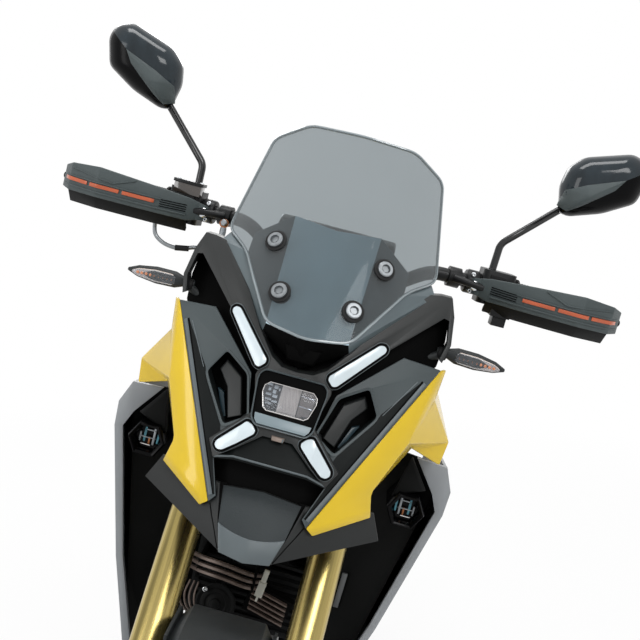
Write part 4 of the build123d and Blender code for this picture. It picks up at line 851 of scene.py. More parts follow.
guards = Form()
for x0, x1 in ((294, 344), (349, 397), (402, 447)):
    guard_band(guards, x0, x1, ORANGE_LOW, ORANGE_HIGH, 2.2, 2)
guard_band(guards, 284, 452, 1152.4, 1154.6, 2.8, 2, 1, 14)
guard_band(guards, 246, 452, 1137.2, 1139.6, 2.8, 2, 1, 16)
for i in range(4):
    guard_band(guards, 246, 286, 1143.0 + i * 3.4, 1144.3 + i * 3.4, 1.4, 2, 2, 5, lean_z=-1)
guard_band(guards, 326, 360, 1170, 1172.5, 2.0, 2, 1, 6, lean_z=-13)
guard_band(guards, 360, 436, 1157, 1159, 1.8, 2, 1, 8, lean_z=8)
# the thin inner end, which carries the bolt and its slot
tongue = []
for x, low, high in ((207, 1141, 1155), (210, 1138, 1157.5), (220, 1135.5, 1160), (229.6, 1134, 1162)):
    y = guard_front(x) - 0.3
    tongue.append([(x, y, low), (x, y, high), (x, y + 4, high), (x, y + 4, low)])
guards.loft(tongue, 1)
guard_band(guards, 208.5, 214.5, 1145.8, 1150.6, 0.9, 1, 2, 2)
guards.mirrored().make("guard_strips", [ORANGE, GUARD_GREY, BLACK_AND_SHADE], "steering", bevel=0.6)
# the turned-in shelf under the guard that shades the lever, near-black as painted shade on the guard's
# underside
shelf = Form()
shelf.loft([[(x, y + 1, low + 1), (x, y + 5, low + 4), (x, y + 28, low - 13), (x, y + 25, low - 19)]
            for x, y, low, high in GUARD[1:-1]])
shelf.mirrored().make("guard_shelves", INNER_BLACK, "steering", bevel=1.0)
fasteners = Form()
fasteners.bolt((221, guard_front(221), 1148), (0, -1, 0.1), 7.6, 0, 4.5)
fasteners.mirrored().make("guard_bolts", STEEL, "steering", smooth=30)

# ------------------------------------------------------------------ handlebar
BAR_BEND = Vector((150.0, -327.0, 1152.0))
BAR_END = Vector((425.0, -284.0, 1150.0))
BAR_WAY = BAR_END - BAR_BEND
GRIP_RADIUS, RIDGES = 16.4, 26

grips = Form()
length = BAR_WAY.length * 0.47
profile = [(0, GRIP_RADIUS)]
for i in range(RIDGES):
    s = 3 + i * (length - 8) / RIDGES
    profile += [(s, GRIP_RADIUS), (s + 0.8, 17.4), (s + 2.6, 17.4), (s + 3.4, GRIP_RADIUS)]
profile += [(length - 3, GRIP_RADIUS), (length, 15.4)]
grip_start = BAR_BEND + BAR_WAY * 0.5
grips.lathe(grip_start, BAR_WAY, profile, 28)
grips.lathe(grip_start, BAR_WAY, [(-2.5, 19), (-2, 22), (1.5, 22), (2, 19)], 28)
grips.mirrored().make("grip_rubbers", RUBBER, "steering", replaces=["grips"], slot="rubber")

controls = Form()
middle = BAR_BEND + BAR_WAY * 0.38
controls.box(middle + Vector((0, -23, 16)), (24, 7, 10), 1)
controls.box(middle + Vector((-8, -23, -8)), (13, 8, 13), 2)
controls.box(middle + Vector((14, -22, -12)), (10, 9, 8), 1)
controls.lathe(BAR_BEND + BAR_WAY * 0.20, BAR_WAY, [(0, 17.5), (3, 19), (19, 19), (22, 17.5)], 24)
for z in (-13, 13):
    controls.bolt(BAR_BEND + BAR_WAY * 0.24 + Vector((0, -17, z)), (0, -1, 0), 3.6, 3, 3)
controls.mirrored()
# left cluster reaches down; the right-hand side carries the brake reservoir
controls.loft([level(((256, -342), (288, -338), (286, -302), (254, -306)), z) for z in (1132, 1110)])
controls.loft([level(((262, -336), (284, -333), (282, -308), (260, -311)), z) for z in (1110, 1095)])
controls.make("bar_details", [BLACK_METAL, RUBBER, GLOSS_BLACK, STEEL], "steering", bevel=1.2)
cup = Form()
for line, heights, mark in (
        (((-276, -340), (-232, -344), (-230, -321), (-274, -320)), (1170, 1186), 0),
        (((-278, -342), (-230, -346), (-228, -319.5), (-276, -318.5)), (1186, 1191), 1),
        (((-268, -337), (-240, -339), (-238, -325), (-266, -324)), (1154, 1170), 1)):
    cup.loft([level(line, z) for z in heights], mark)
for spot in ((-270, -337, 1191), (-236, -324, 1191)):
    cup.bolt(spot, (0, 0, 1), 3.2, 2, 1.6)
cup.make("brake_reservoir", [SMOKE, BLACK_METAL, STEEL], "steering", bevel=2.2)
fitting = Form()
fitting.lathe((-184, -336, 1140), (-0.2, -1, 0.25), [(-6, 5), (0, 7.4), (3.2, 7.4), (3.2, 5.6)], 20)
fitting.lathe((-184, -339, 1141), (-0.2, -1, 0.25), [(0, 5.8), (4.5, 5.8), (5.4, 4.4), (5.4, 0.1)], 6, 1)
fitting.lathe((-184, -336, 1133), (0.1, -0.3, -1), [(0, 5), (7, 5.4), (16, 4.2), (17, 3.2)], 16, 1)
fitting.make("brake_fittings", [COPPER, BOLT], "steering", smooth=30)

# ------------------------------------------------------------------ mirrors
MIRROR_LINE = [(310, 1333), (315, 1363), (336, 1385), (406, 1408), (432, 1399), (441, 1378), (430, 1334),
               (384, 1306), (336, 1289), (320, 1292)]
MIRROR_CORNER = 9
# y and share of the outline, from the shell's front to its glass
MIRROR_SHELL = [(-334, 0.42), (-329, 0.66), (-318, 0.88), (-304, 0.99), (-292, 1.0), (-287.5, 0.97)]
MIRROR_GLASS = [(-289.5, 0.92), (-286.5, 0.91)]
MIRROR_MIDDLE = Vector(grown(MIRROR_LINE, 0)[0])
RIDGE = [(313.5, 1302), (317.6, 1327.5), (346.4, 1342.6), (399.8, 1363.5), (387.8, 1344.4), (343.2, 1306.6),
         (328.5, 1296)]
RIDGE_PEAK = Vector((352, 1326))
# share of the ridge's outline and height above the shell
RIDGE_RINGS = [(1.0, -4.0), (1.0, 1.4), (0.8, 3.0), (0.6, 4.2), (0.4, 5.2), (0.2, 6.0), (0.05, 6.4)]


def mirror_front(x, z):
    """The front of the mirror's shell at a point of its outline's plane."""
    way = Vector((x, z)) - MIRROR_MIDDLE
    share = 0.0
    for i, corner in enumerate(MIRROR_LINE):
        a, b = Vector(MIRROR_LINE[i - 1]) - MIRROR_MIDDLE, Vector(corner) - MIRROR_MIDDLE
        out = Vector(((b - a).y, -(b - a).x))
        share = max(share, way.dot(out) / a.dot(out))
    for (y0, s0), (y1, s1) in zip(MIRROR_SHELL, MIRROR_SHELL[1:4]):
        if share <= s1:
            return y0 + (y1 - y0) * max(0.0, (share - s0) / (s1 - s0))
    return MIRROR_SHELL[3][0]


# soft-cornered gloss black shells, their upper half with a blue-grey painted reflection, with the glass
# behind and a ridge on the front
head = Form()
head.loft([facing(soft(grown(MIRROR_LINE, share), MIRROR_CORNER), y) for y, share in MIRROR_SHELL])
head.loft([facing(soft(grown(MIRROR_LINE, share), MIRROR_CORNER), y) for y, share in MIRROR_GLASS], 1)
head.ball((331, -298, 1305), 12)
# cut along the ridge's line: above it the painted reflection, below it black
head.parted(Vector(RIDGE[0]), Vector(RIDGE[3]), 0, (4, 3))
fine_ridge = []
for i, corner in enumerate(RIDGE):
    a, b = Vector(RIDGE[i - 1]), Vector(corner)
    fine_ridge += [a + (b - a) * step / 5 for step in range(1, 6)]
ridge_rings = []
for share, lift in RIDGE_RINGS:
    spots = [RIDGE_PEAK + (spot - RIDGE_PEAK) * share for spot in fine_ridge]
    ridge_rings.append([(x, mirror_front(x, z) - lift, z) for x, z in spots])
head.loft(ridge_rings, 2)
head.mirrored().make("mirror_shells", [GLOSS_BLACK, MIRROR, GUARD_GREY, MIRROR_BLACK, MIRROR_PAINTED_REFLECTION],
                     "steering", bevel=0.8, smooth=30, replaces=["mirror_heads"], slot="black_plastic")
joint = Form()
joint.lathe((244, -308, 1152), (0, 0, 1), [(0, 9), (8, 9.5), (16, 9.5), (18, 7.4), (26, 7.4), (28, 6.6)], 6)
joint.mirrored().make("mirror_nuts", BLACK_METAL, "steering", bevel=0.6)

# ------------------------------------------------------------------ fork
# caps, dust seals and clamp bolts
caps = Form()
top = fork_point(TUBE_X, TUBE_BACK, 1150)
caps.lathe(top, STEER_UP, [(-1, 26), (3, 26), (6, 23), (6, 15)], 32, 0, caps=False)
caps.lathe(top, STEER_UP, [(6, 15), (12, 15), (14, 13), (14, 5)], 6, 1, caps=False)
caps.lathe(top, STEER_UP, [(14, 5), (19, 5), (19, 0.1)], 16, 2, caps=False)
seal = [(0, 21.5), (0, 27.5), (9, 28.6), (12, 28.6), (12, 21)]
caps.lathe(fork_point(TUBE_X, TUBE_BACK, 517), STEER_UP, seal, 32, 3, caps=False)
for x, back, along in ((62, -62, 1115), (62, -62, 938), (148, -44, 938), (62, -62, 926), (148, -44, 926)):
    caps.bolt(fork_point(x, back, along), STEER_AHEAD, 5.2, 2, 5)
caps.mirrored()
caps.lathe(fork_point(0, 0, 1128), STEER_UP, [(0, 21), (5, 21), (7, 19), (7, 9), (3, 8), (3, 0.1)], 6, 1)
caps.make("fork_fittings", [GOLD, BLACK_METAL, STEEL, RUBBER], "steering", bevel=0.5)
# the gold tubes' turned rings
turned = Form()
for along in (594, 600, 884, 1136):
    ring = [(-1.2, 26.0), (-0.6, 26.7), (0.6, 26.7), (1.2, 26.0)]
    turned.lathe(fork_point(TUBE_X, TUBE_BACK, along), STEER_UP, ring, 40)
turned.mirrored().make("fork_grooves", GOLD, "steering")

# ------------------------------------------------------------------ winkers
# share of the way to the tip, half height, half depth
WINKER_SHELL = [(-0.18, 5, 5), (0.0, 7, 7), (0.16, 12, 9), (0.5, 12.5, 9), (0.82, 8.5, 7), (1.0, 2.2, 3)]
WINKER_LENS = [(0.14, 5.0), (0.2, 8.0), (0.5, 8.6), (0.8, 5.2), (0.9, 1.4)]


def winker_half(form, foot, tip, up, front):
    """A pointed lamp from its stalk to its tip: shell, pale base, clear cover and a row of amber dots."""
    foot, tip, up, front = Vector(foot), Vector(tip), Vector(up), Vector(front)
    way = tip - foot

    def bar(half_share, near, far):
        """A bar along the lamp, between two distances ahead of it; its front is narrower by a share."""
        return [[m + up * (half * half_share) + front * far, m - up * (half * half_share) + front * far,
                 m - up * half + front * near, m + up * half + front * near]
                for m, half in ((foot + way * s, half) for s, half in WINKER_LENS)]

    form.loft([[foot + way * s + up * (half * a) + front * (depth * b) for a, b in circle(1, 12)]
               for s, half, depth in WINKER_SHELL])
    form.loft(bar(1.0, 4, 7.4), 1)
    form.loft(bar(0.9, 7.5, 9.6), 3)
    for i in range(9):
        spot = foot + way * (0.2 + i * 0.075) + front * 7.3
        form.lathe(spot, front, [(0, 2.5), (1.2, 2.2), (1.6, 0.8)], 12, 2)


winker = Form()
winker_half(winker, (194, -499, 1057), (280, -489, 1053), (0.05, -0.1, 1), (0.1, -1, -0.1))
winker_half(winker, (92, 803, 840), (172, 812, 840), (0, 0, 1), (0.05, 1, 0))
winker.tube([(150.3, -505, 1035), (168, -503, 1044), (194, -499, 1057)], 6.4, 16)
winker.lathe((190, -500, 1055), (0.9, 0.05, -0.02), [(-10, 7.5), (-8, 9.2), (2, 9.2), (4, 8)], 20, 4)
winker.tube([(70, 800, 840), (92, 803, 840)], 7, 16)
winker.mirrored().make("winker_lamps", [PLASTIC, PEACH, AMBER, LENS, RUBBER], "chassis", bevel=0.6, angle=40,
                       replaces=["winkers"], slot="lamp_amber")

# ------------------------------------------------------------------ fog lamps
FOG = [(175, 797), (189, 823), (221, 823), (236, 797), (221, 771), (189, 771)]
# y and share of the outline, from the back to the sunk lens
FOG_HOUSING = [(-354, 1.0), (-430, 1.0), (-439, 0.92), (-436, 0.74), (-418, 0.66)]
# middle, width, height and finish of each painted glint in the lens
FOG_GLINTS = [(190, 801, 3.5, 22, 2), (196.5, 800, 3.5, 28, 1), (203, 792, 3, 12, 3), (211, 801, 4, 24, 2),
              (218, 796, 3, 15, 1), (204, 809, 18, 2, 1), (208, 785, 16, 2, 4)]

# the dark three-cornered covers above them
brow = Form()
brow.loft([[(197, -392, 872), (183, -392, 806), (229, -392, 828)],
           [(194, -424, 880), (179, -424, 811), (228, -424, 833)],
           [(192, -428, 877), (182, -428, 816), (222, -428, 834)]])
brow.mirrored().make("lamp_brows", INNER_BLACK, "chassis", bevel=1.6)
fog = Form()
fog.loft([facing(grown(FOG, share), y) for y, share in FOG_HOUSING])
for x, z, wide, high, mark in FOG_GLINTS:
    fog.box((x, -421, z), (wide, 5, high), mark)
fog.box((206, -424, 797), (26, 1.2, 1.6), 1)
fog.mirrored().make("fog_lamp_housings", [MIRROR_BLACK, BOLT, BLUE_GLINT, COPPER, CHROME], "chassis",
                    bevel=1.2, replaces=["fog_lamps"], slot="lamp_glass")

# ------------------------------------------------------------------ between the fork legs
FIN_SECTION = ((0, 0, 0), (0, 10, 0), (0, 10, 3.6), (0, 2, 4.2))
FIN_TURN = (0, 14, 0)

# fins in a pale colour of painted highlight, on black blocks
inner = Form()
for i in range(3):
    z = 633 - i * 11
    line = [(-94, -404, z - 8), (-74, -430, z), (-38, -442, z + 3), (0, -430, z - 6), (20, -404, z - 14)]
    inner.loft([[p + Vector(d) for d in FIN_SECTION] for p in smooth_line(line)])
for x in (-80, -36, 10):
    inner.box((x, -388, 616), (5, 66, 36), 1)
# straight fins under the cooler's middle, and the curved ones beside the horn
for i in range(5):
    inner.box((40, -384, 585 - i * 8.5), (62, 14, 2.6), 0, FIN_TURN)
inner.box((40, -372, 566), (70, 20, 48), 1, FIN_TURN)
for i in range(4):
    line = [(-98 + i * 7, -382, 575), (-102 + i * 8, -392, 556), (-96 + i * 8, -394, 538),
            (-84 + i * 8, -384, 522)]
    inner.tube(smooth_line(line, 5), 1.9, 8)
inner.make("lower_fins", [FIN_HIGHLIGHT, BLACK_AND_SHADE], "chassis", bevel=0.5)

HORN = Vector((-42, -390, 552))
HORN_WAY = (0, -1, 0.15)
horn = Form()
bell = [(-16, 12), (-16, 26), (-2, 31), (2, 33), (5, 33), (6, 30), (4, 25), (6, 23), (7, 18), (5, 16), (7, 9),
        (11, 8), (12, 4), (12, 0.1)]
horn.lathe(HORN, HORN_WAY, bell, 36)
horn.bolt((-63, -398, 574), HORN_WAY, 4.5, 1, 5)
horn.box(HORN + Vector((-4, 30, 12)), (16, 40, 4), 0, (12, 0, 0))
horn.make("horn", [INNER_BLACK, STEEL], "chassis", bevel=0.6)

# white two-part plug on its holder, and the bright stay beside the left fork leg
plug = Form()
for centre, size, mark, turn in (
        ((26, -446, 641), (8, 7, 20), 0, (0, 6, 0)), ((24, -446, 619), (12, 9, 24), 0, (0, 6, 0)),
        ((22, -446, 603), (3.5, 4, 10), 0, (0, 6, 0)), ((26, -424, 640), (8, 44, 8), 1, ()),
        ((147, -352, 614), (9, 5, 60), 2, (0, 1, 0)), ((147, -344, 614), (5, 14, 46), 1, (0, 1, 0))):
    plug.box(centre, size, mark, turn)
plug.make("plug_and_stay", [WHITE_PLUG, BLACK_AND_SHADE, CAST], "chassis", bevel=0.8)

# bent brake pipe under the right-hand guard, with a sleeve
pipe_line = smooth_line([
    (-292, -334, 1120), (-293, -330, 1108), (-288, -330, 1094), (-274, -330, 1085), (-256, -330, 1082),
    (-240, -328, 1084), (-222, -322, 1090), (-192, -310, 1092), (-160, -330, 1076),
    fork_point(-129, TUBE_BACK, 1132)])
brake_pipe = Form()
brake_pipe.tube(pipe_line, 3.4)
brake_pipe.lathe(pipe_line[-30], pipe_line[-24] - pipe_line[-30], [(0, 3.4), (0, 4.6), (22, 4.6), (22, 3.4)],
                 16, 1)
brake_pipe.make("brake_pipe", [BOLT, RUBBER], "steering", smooth=40)

# ------------------------------------------------------------------ engine
engine = Form()
for x, y, z, radius, side in ((112, -50, 320, 78, 1), (-112, -20, 320, 84, -1)):
    way = (side, 0, 0)
    for a, b in circle(radius - 9, 9, 0.2):
        engine.bolt((x, y + a, z + b), way, 5.2, 1, 4)
    raised = [(-1, radius * 0.72), (4, radius * 0.7), (7, radius * 0.62), (7, radius * 0.42),
              (5, radius * 0.4), (5, 0.1)]
    engine.lathe((x, y, z), way, raised, 40)
engine.lathe((112, -96, 385), (1, 0, 0), [(-10, 14), (2, 14), (8, 12), (8, 0.1)], 6, 2)
engine.lathe((-84, 70, 380), (-1, 0, 0), [(0, 22), (14, 22), (17, 18), (17, 0.1)], 28)
for side in (-1, 1):
    engine.lathe((side * 84, -140, 385), (side, 0, 0), [(0, 20), (10, 20), (13, 16), (13, 0.1)], 24)
engine.make("engine_details", [CAST, STEEL, GLOSS_BLACK], "chassis", bevel=1.0)

# pedals of the rear brake and the gearbox
pedals = Form()
pedals.tube(smooth_line([(-150, 150, 300), (-158, 90, 296), (-150, 20, 290), (-150, -30, 300)]), 6)
pedals.box((-160, -38, 303), (36, 26, 8), 1)
pedals.lathe((-152, 152, 300), (1, 0, 0), [(-8, 13), (8, 13)], 20)
pedals.tube(smooth_line([(118, 40, 330), (128, 0, 312), (132, -50, 300), (134, -70, 302)]), 5.5)
pedals.lathe((132, -72, 302), (1, 0, 0), [(0, 9), (34, 9), (36, 7)], 18, 1)
pedals.lathe((112, 40, 330), (1, 0, 0), [(-4, 12), (14, 12)], 20)
pedals.make("foot_controls", [BLACK_METAL, RUBBER], "chassis", bevel=0.8)
treads = Form()
for i in range(7):
    treads.box((160 + i * 12, 160, 325.5), (4, 26, 4))
treads.mirrored().make("peg_teeth", STEEL, "chassis", bevel=0.5)

# silencer: band, end cap, clamp and heat guard
CAN_START, CAN_END = Vector((-198, 400, 400)), Vector((-212, 790, 640))
way = (CAN_END - CAN_START).normalized()
length = (CAN_END - CAN_START).length
side, up = square_to(way)
can = Form()
can.lathe(CAN_START, way, [(56, 50), (58, 53.6), (66, 54), (70, 52.4)], 48)
cap = [(-14, 52.4), (-12, 54), (-2, 54), (4, 47), (6, 30), (2, 22), (-8, 20)]
can.lathe(CAN_END, way, cap, 48, 0, caps=False)
can.lathe(CAN_START, way, [(-16, 19.5), (-14, 23), (0, 23), (2, 20)], 32, 1)
turns = [math.radians(150 + k * 12) for k in range(8)]
section = [(t, 55.5) for t in turns] + [(t, 52.2) for t in turns[::-1]]
can.loft([[CAN_START + way * s + (side * math.cos(t) + up * math.sin(t)) * radius for t, radius in section]
          for s in (130, 150, length - 90, length - 60)], 2)
can.make("silencer_trim", [BLACK_METAL, STEEL, PLASTIC], "chassis", bevel=0.6)

# ------------------------------------------------------------------ tyres
TYRE_STEPS = 216
BLOCK_STEPS = 12
GROOVE_DEPTH = 4.5
TREAD_SUNK = 0.9
# share of the half width, and of the way from the crown to the rim
TYRE_SECTION = [(0, 0), (0.42, 0.05), (0.74, 0.17), (0.93, 0.36), (1.0, 0.52), (0.97, 0.68), (0.86, 0.86),
                (0.77, 0.995)]


def grooved(step, x, share):
    """Whether a place of the tread, at a share of the half width, is cut by a groove."""
    phase = (step + (6 if x < 0 else 0) + share * 13) % BLOCK_STEPS
    return (0.16 < share < 0.86 and phase < 1.6) or share < 0.035 or (0.5 < share < 0.54 and phase < 8)


def tyre(name, node, body, centre, radius, width, rim_radius):
    """A road tyre with cut grooves; the grooves lie under the tread's surface."""
    half, wall = width / 2, radius - rim_radius
    depth = wall - TREAD_SUNK
    curve = smooth_line([Vector((x * half, radius - TREAD_SUNK - d * depth, 0)) for x, d in TYRE_SECTION])
    right = [(p.x, p.y) for p in curve]
    outside = [(-x, r) for x, r in right[:0:-1]] + right
    inside = [(half * 0.70, rim_radius + 4), (half * 0.70, rim_radius + wall * 0.4), (0, radius - 14),
              (-half * 0.70, rim_radius + wall * 0.4), (-half * 0.70, rim_radius + 4)]
    rings = []
    for step in range(TYRE_STEPS):
        turn = step * 2 * math.pi / TYRE_STEPS
        ring = []
        for i, (x, r) in enumerate(outside + inside):
            tread = i < len(outside) and r > radius - wall * 0.42
            if tread and grooved(step, x, abs(x) / half):
                r -= GROOVE_DEPTH
            ring.append((centre.x + x, centre.y + r * math.cos(turn), centre.z + r * math.sin(turn)))
        rings.append(ring)
    form = Form()
    form.loft(rings, closed=True)
    form.make(name, TYRE, body, smooth=28, replaces=[node], slot="tyre")


tyre("front_tyre_tread", "front_tyre", "front_wheel", FRONT_AXLE, FRONT_RADIUS, 110, 249)
tyre("rear_tyre_tread", "rear_tyre", "rear_wheel", REAR_AXLE, REAR_RADIUS, 150, 224)

# ------------------------------------------------------------------ hubs and chain
hubs = Form()
for side, bolt_x in ((-1, -52), (1, 57)):
    way = (side, 0, 0)
    hubs.lathe(FRONT_AXLE + Vector((side * 52, 0, 0)), way, [(-2, 30), (3, 30), (5, 27), (5, 14)], 32)
    for a, b in circle(48, 6):
        hubs.bolt(FRONT_AXLE + Vector((bolt_x, a, b)), way, 5, 1, 4)
hubs.make("front_hub_details", [BLACK_METAL, STEEL], "front_wheel", bevel=0.5)
nuts = Form()
nuts.lathe(FRONT_AXLE + Vector((131, 0, 0)), (1, 0, 0), [(-1, 15), (9, 15), (10, 13)], 6)
nuts.lathe(FRONT_AXLE + Vector((-131, 0, 0)), (-1, 0, 0), [(-1, 13), (6, 13), (7, 11)], 24)
nuts.make("front_axle_nuts", STEEL, "steering", bevel=0.5)
tail_nuts = Form()
for side in (-1, 1):
    tail_nuts.lathe(REAR_AXLE + Vector((side * 150, 0, 0)), (side, 0, 0),
                    [(-1, 18), (4, 18), (5, 14), (14, 14), (15, 12)], 6)
    tail_nuts.box(REAR_AXLE + Vector((side * 151, 10, 0)), (4, 58, 30), 1)
tail_nuts.make("rear_axle_nuts", [STEEL, CAST], "chassis", bevel=0.6)

# chain links along a loop about the rear sprocket and the gearbox's shaft, and the sprocket's teeth
CHAIN_X, BIG, SMALL, TOOTH_COUNT = 100.0, 98.0, 38.0, 39
CHAIN_PITCH = 15.875
# distance from the sprocket's axle, and along its rim
TOOTH = [(86, -5), (92, -4.2), (97, -1.6), (97, 1.6), (92, 4.2), (86, 5)]
small = Vector((CHAIN_X, 95.0, 375.0))
big = Vector((CHAIN_X, REAR_AXLE.y, REAR_AXLE.z))
gap = big - small
heading = math.atan2(gap.z, gap.y) + math.pi
open_angle = math.acos((BIG - SMALL) / math.hypot(gap.y, gap.z))


def chain_arc(centre, radius, start, end, count):
    """Points of the chain's line around one end of its loop."""
    turns = [start + (end - start) * i / count for i in range(count + 1)]
    return [centre + Vector((0, radius * math.cos(t), radius * math.sin(t))) for t in turns]


loop = chain_arc(big, BIG, heading + open_angle, heading + 2 * math.pi - open_angle, 80)
loop += chain_arc(small, SMALL, heading - open_angle, heading + open_angle, 40)
loop.append(loop[0])
lengths = [0.0]
for a, b in zip(loop, loop[1:]):
    lengths.append(lengths[-1] + (b - a).length)
link_count = round(lengths[-1] / CHAIN_PITCH / 2) * 2
pitch = lengths[-1] / link_count


def on_loop(distance):
    """The point at a distance along the chain's line."""
    distance %= lengths[-1]
    for i in range(len(loop) - 1):
        if lengths[i + 1] >= distance:
            t = (distance - lengths[i]) / max(lengths[i + 1] - lengths[i], 1e-6)
            return loop[i] + (loop[i + 1] - loop[i]) * t


links = Form()
upper = [(-4.5, 3), (-2, 6.2), (3, 5.0), (pitch / 2, 4.2), (pitch - 3, 5.0), (pitch + 2, 6.2),
         (pitch + 4.5, 3)]
lower = [(s, -h) for s, h in upper]
link_shape = lower[:1] + upper + lower[:0:-1]
for i in range(link_count):
    a, b = on_loop(i * pitch), on_loop((i + 1) * pitch)
    way = (b - a).normalized()
    up = Vector((1, 0, 0)).cross(way)
    aside = 5.2 if i % 2 else 7.0
    for side in (-1, 1):
        ring = [a + way * s + up * h + Vector((side * aside, 0, 0)) for s, h in link_shape]
        links.swept(ring, (side * 1.7, 0, 0))
    links.lathe(a - Vector((8.9, 0, 0)), (1, 0, 0), [(0, 2.6), (17.8, 2.6)], 8, 1)
    links.lathe(a - Vector((4.6, 0, 0)), (1, 0, 0), [(0, 5.0), (9.2, 5.0)], 10)
links.make("chain_links", [CHAIN, STEEL], "chassis", smooth=40, replaces=["chain"], slot="chain_steel")
teeth = Form()
for a, b in circle(1, TOOTH_COUNT):
    out, along = Vector((0, a, b)), Vector((0, -b, a))
    ring = [big + out * r + along * s for r, s in TOOTH]
    teeth.swept([p - Vector((3.2, 0, 0)) for p in ring], (6.4, 0, 0))
for a, b in circle(66, 5):
    teeth.bolt(big + Vector((3.5, a, b)), (1, 0, 0), 6, 0, 4)
teeth.make("sprocket_teeth", DISC, "rear_wheel", smooth=35)

# ------------------------------------------------------------------ seat
SEAT_ROWS = [
    # y, middle z, half width, top, bottom
    (42, 838, 70, 26, 24), (80, 832, 92, 26, 26), (140, 818, 108, 27, 28), (220, 806, 117, 28, 30),
    (300, 812, 123, 31, 33), (345, 822, 126, 36, 34), (380, 838, 124, 36, 36), (470, 852, 120, 31, 32),
    (580, 866, 106, 27, 28), (660, 874, 94, 23, 24), (688, 876, 84, 18, 20),
]
SIDE_POWER, TOP_POWER = 0.55, 0.72


def crown(share):
    """The cushion's crowned top: a factor on its height, at a share of its half width."""
    return 1.02 - 0.10 * share ** 2


rings = []
for y, z, half, top, low in SEAT_ROWS:
    ring = []
    for a, b in circle(1, 28):
        share = math.copysign(abs(a) ** SIDE_POWER, a)
        rise = math.copysign(abs(b) ** TOP_POWER, b)
        ring.append((share * half, y, z + rise * (top * crown(share) if b > 0 else low)))
    rings.append(ring)
seat_form = Form()
seat_form.loft(rings)
seat_piece = seat_form.make("seat_cushion", SEAT, "chassis", subdivide=1, smooth=60, replaces=["seat"],
                            slot="seat_cover")
piping = Form()
for side in (-1, 1):
    line = [(side * half * 0.93, y, z + top * 0.62) for y, z, half, top, low in SEAT_ROWS[1:-1]]
    piping.tube(smooth_line(line), 1.8, 8)
for y, z, half, top, low in (SEAT_ROWS[4], SEAT_ROWS[7]):
    line = []
    for share in (0.9 * math.cos(math.pi * k / 24) for k in range(25)):
        height = math.sqrt(1 - abs(share) ** (2 / SIDE_POWER)) ** TOP_POWER
        line.append((half * share, y, z + 0.3 + top * crown(share) * height))
    piping.tube(line, 1.3, 8)
piping.make("seat_seams", RUBBER, "chassis")

# ------------------------------------------------------------------ tank and tail
skin("fuel_tank", YELLOW, 0)
FILLER_WAY = (0, 0.05, 1)
filler = Form()
filler.lathe((0, -60, 1002), FILLER_WAY, [(-6, 42), (2, 42), (5, 38), (5, 32), (7, 30), (8, 0.1)], 44)
for a, b in circle(37, 6, 0.3):
    filler.bolt((a, -60 + b, 1004), FILLER_WAY, 2.8, 1, 2.5)
filler.box((0, -60, 1010.5), (12, 34, 3), 1)
filler.make("filler_cap", [BLACK_METAL, STEEL], "chassis", bevel=0.7)

tail = Form()
tail.loft([[(x * share, y, 846 + z * share) for x, z in ((-50, -16), (50, -16), (46, 16), (-46, 16))]
           for y, share in ((850.5, 1.0), (866, 1.0), (873, 0.9))])
for i in range(9):
    tail.box((-36 + i * 9, 872.5, 846), (2.4, 3, 24))
tail.make("tail_lens", RED, "chassis", bevel=1.2, replaces=["tail_lamp"], slot="lamp_red")

# blank number plate on four spacers
PLATE_HALF = 92
PLATE_TOP_Y, PLATE_TOP_Z, PLATE_FOOT_Y, PLATE_FOOT_Z = 1003.5, 634, 1061, 478
PLATE_WAY = (0, 0.938, 0.346)
board = Form()
board.loft([[(-PLATE_HALF, PLATE_TOP_Y + d, PLATE_TOP_Z), (PLATE_HALF, PLATE_TOP_Y + d, PLATE_TOP_Z),
             (PLATE_HALF, PLATE_FOOT_Y + d, PLATE_FOOT_Z), (-PLATE_HALF, PLATE_FOOT_Y + d, PLATE_FOOT_Z)]
            for d in (10.4, 12.0)])
for x in (-72, 72):
    for z in (602, 510):
        fall = (PLATE_TOP_Z - z) / (PLATE_TOP_Z - PLATE_FOOT_Z)
        y = PLATE_TOP_Y + (PLATE_FOOT_Y - PLATE_TOP_Y) * fall
        board.lathe((x, y, z), PLATE_WAY, [(-1, 7), (9.9, 7)], 16, 1)
        board.bolt((x, y + 11.6, z + 0.2), PLATE_WAY, 4.2, 2, 2)
board.make("blank_plate", [WHITE_PLUG, PLASTIC, BOLT], "chassis", bevel=0.6)

# dash: glass face towards the rider
DASH = Vector((0, -462, 1140))
DASH_TURN = Matrix.Rotation(math.radians(30), 3, "X")
DASH_GLASS = [(-76, -40), (76, -40), (76, 40), (-76, 40)]
dash = Form()
dash.loft([[DASH + DASH_TURN @ Vector((x * share, y, z * share)) for x, z in DASH_GLASS]
           for share, y in ((1.0, 13.2), (0.98, 14.4))])
dash.make("dash_glass", GLOSS_BLACK, "chassis", bevel=0.5)

# shock: a coil between its two seats, around the body
SHOCK_FOOT, SHOCK_HEAD = Vector((0, 265, 387)), Vector((0, 206, 724))
COIL_TURNS, COIL_STEPS, COIL_RADIUS = 9, 16, 33
COIL_FOOT, COIL_LENGTH = 62, 200
way = (SHOCK_HEAD - SHOCK_FOOT).normalized()
side, up = square_to(way)
coil = Form()
line = []
for i in range(COIL_TURNS * COIL_STEPS + 1):
    t = i / (COIL_TURNS * COIL_STEPS)
    turn = t * COIL_TURNS * 2 * math.pi
    out = side * math.cos(turn) + up * math.sin(turn)
    line.append(SHOCK_FOOT + way * (COIL_FOOT + t * COIL_LENGTH) + out * COIL_RADIUS)
coil.tube(line, 5.6, 10)
coil.lathe(SHOCK_FOOT, way, [(30, 18), (52, 24), (56, 40), (62, 40), (62, 18)], 32, 1)
coil.lathe(SHOCK_FOOT, way, [(262, 18), (262, 40), (270, 40), (272, 28), (300, 28), (302, 18)], 32, 1)
coil.lathe(SHOCK_FOOT, way, [(0, 20), (20, 20), (52, 22), (300, 22), (330, 14)], 28, 2)
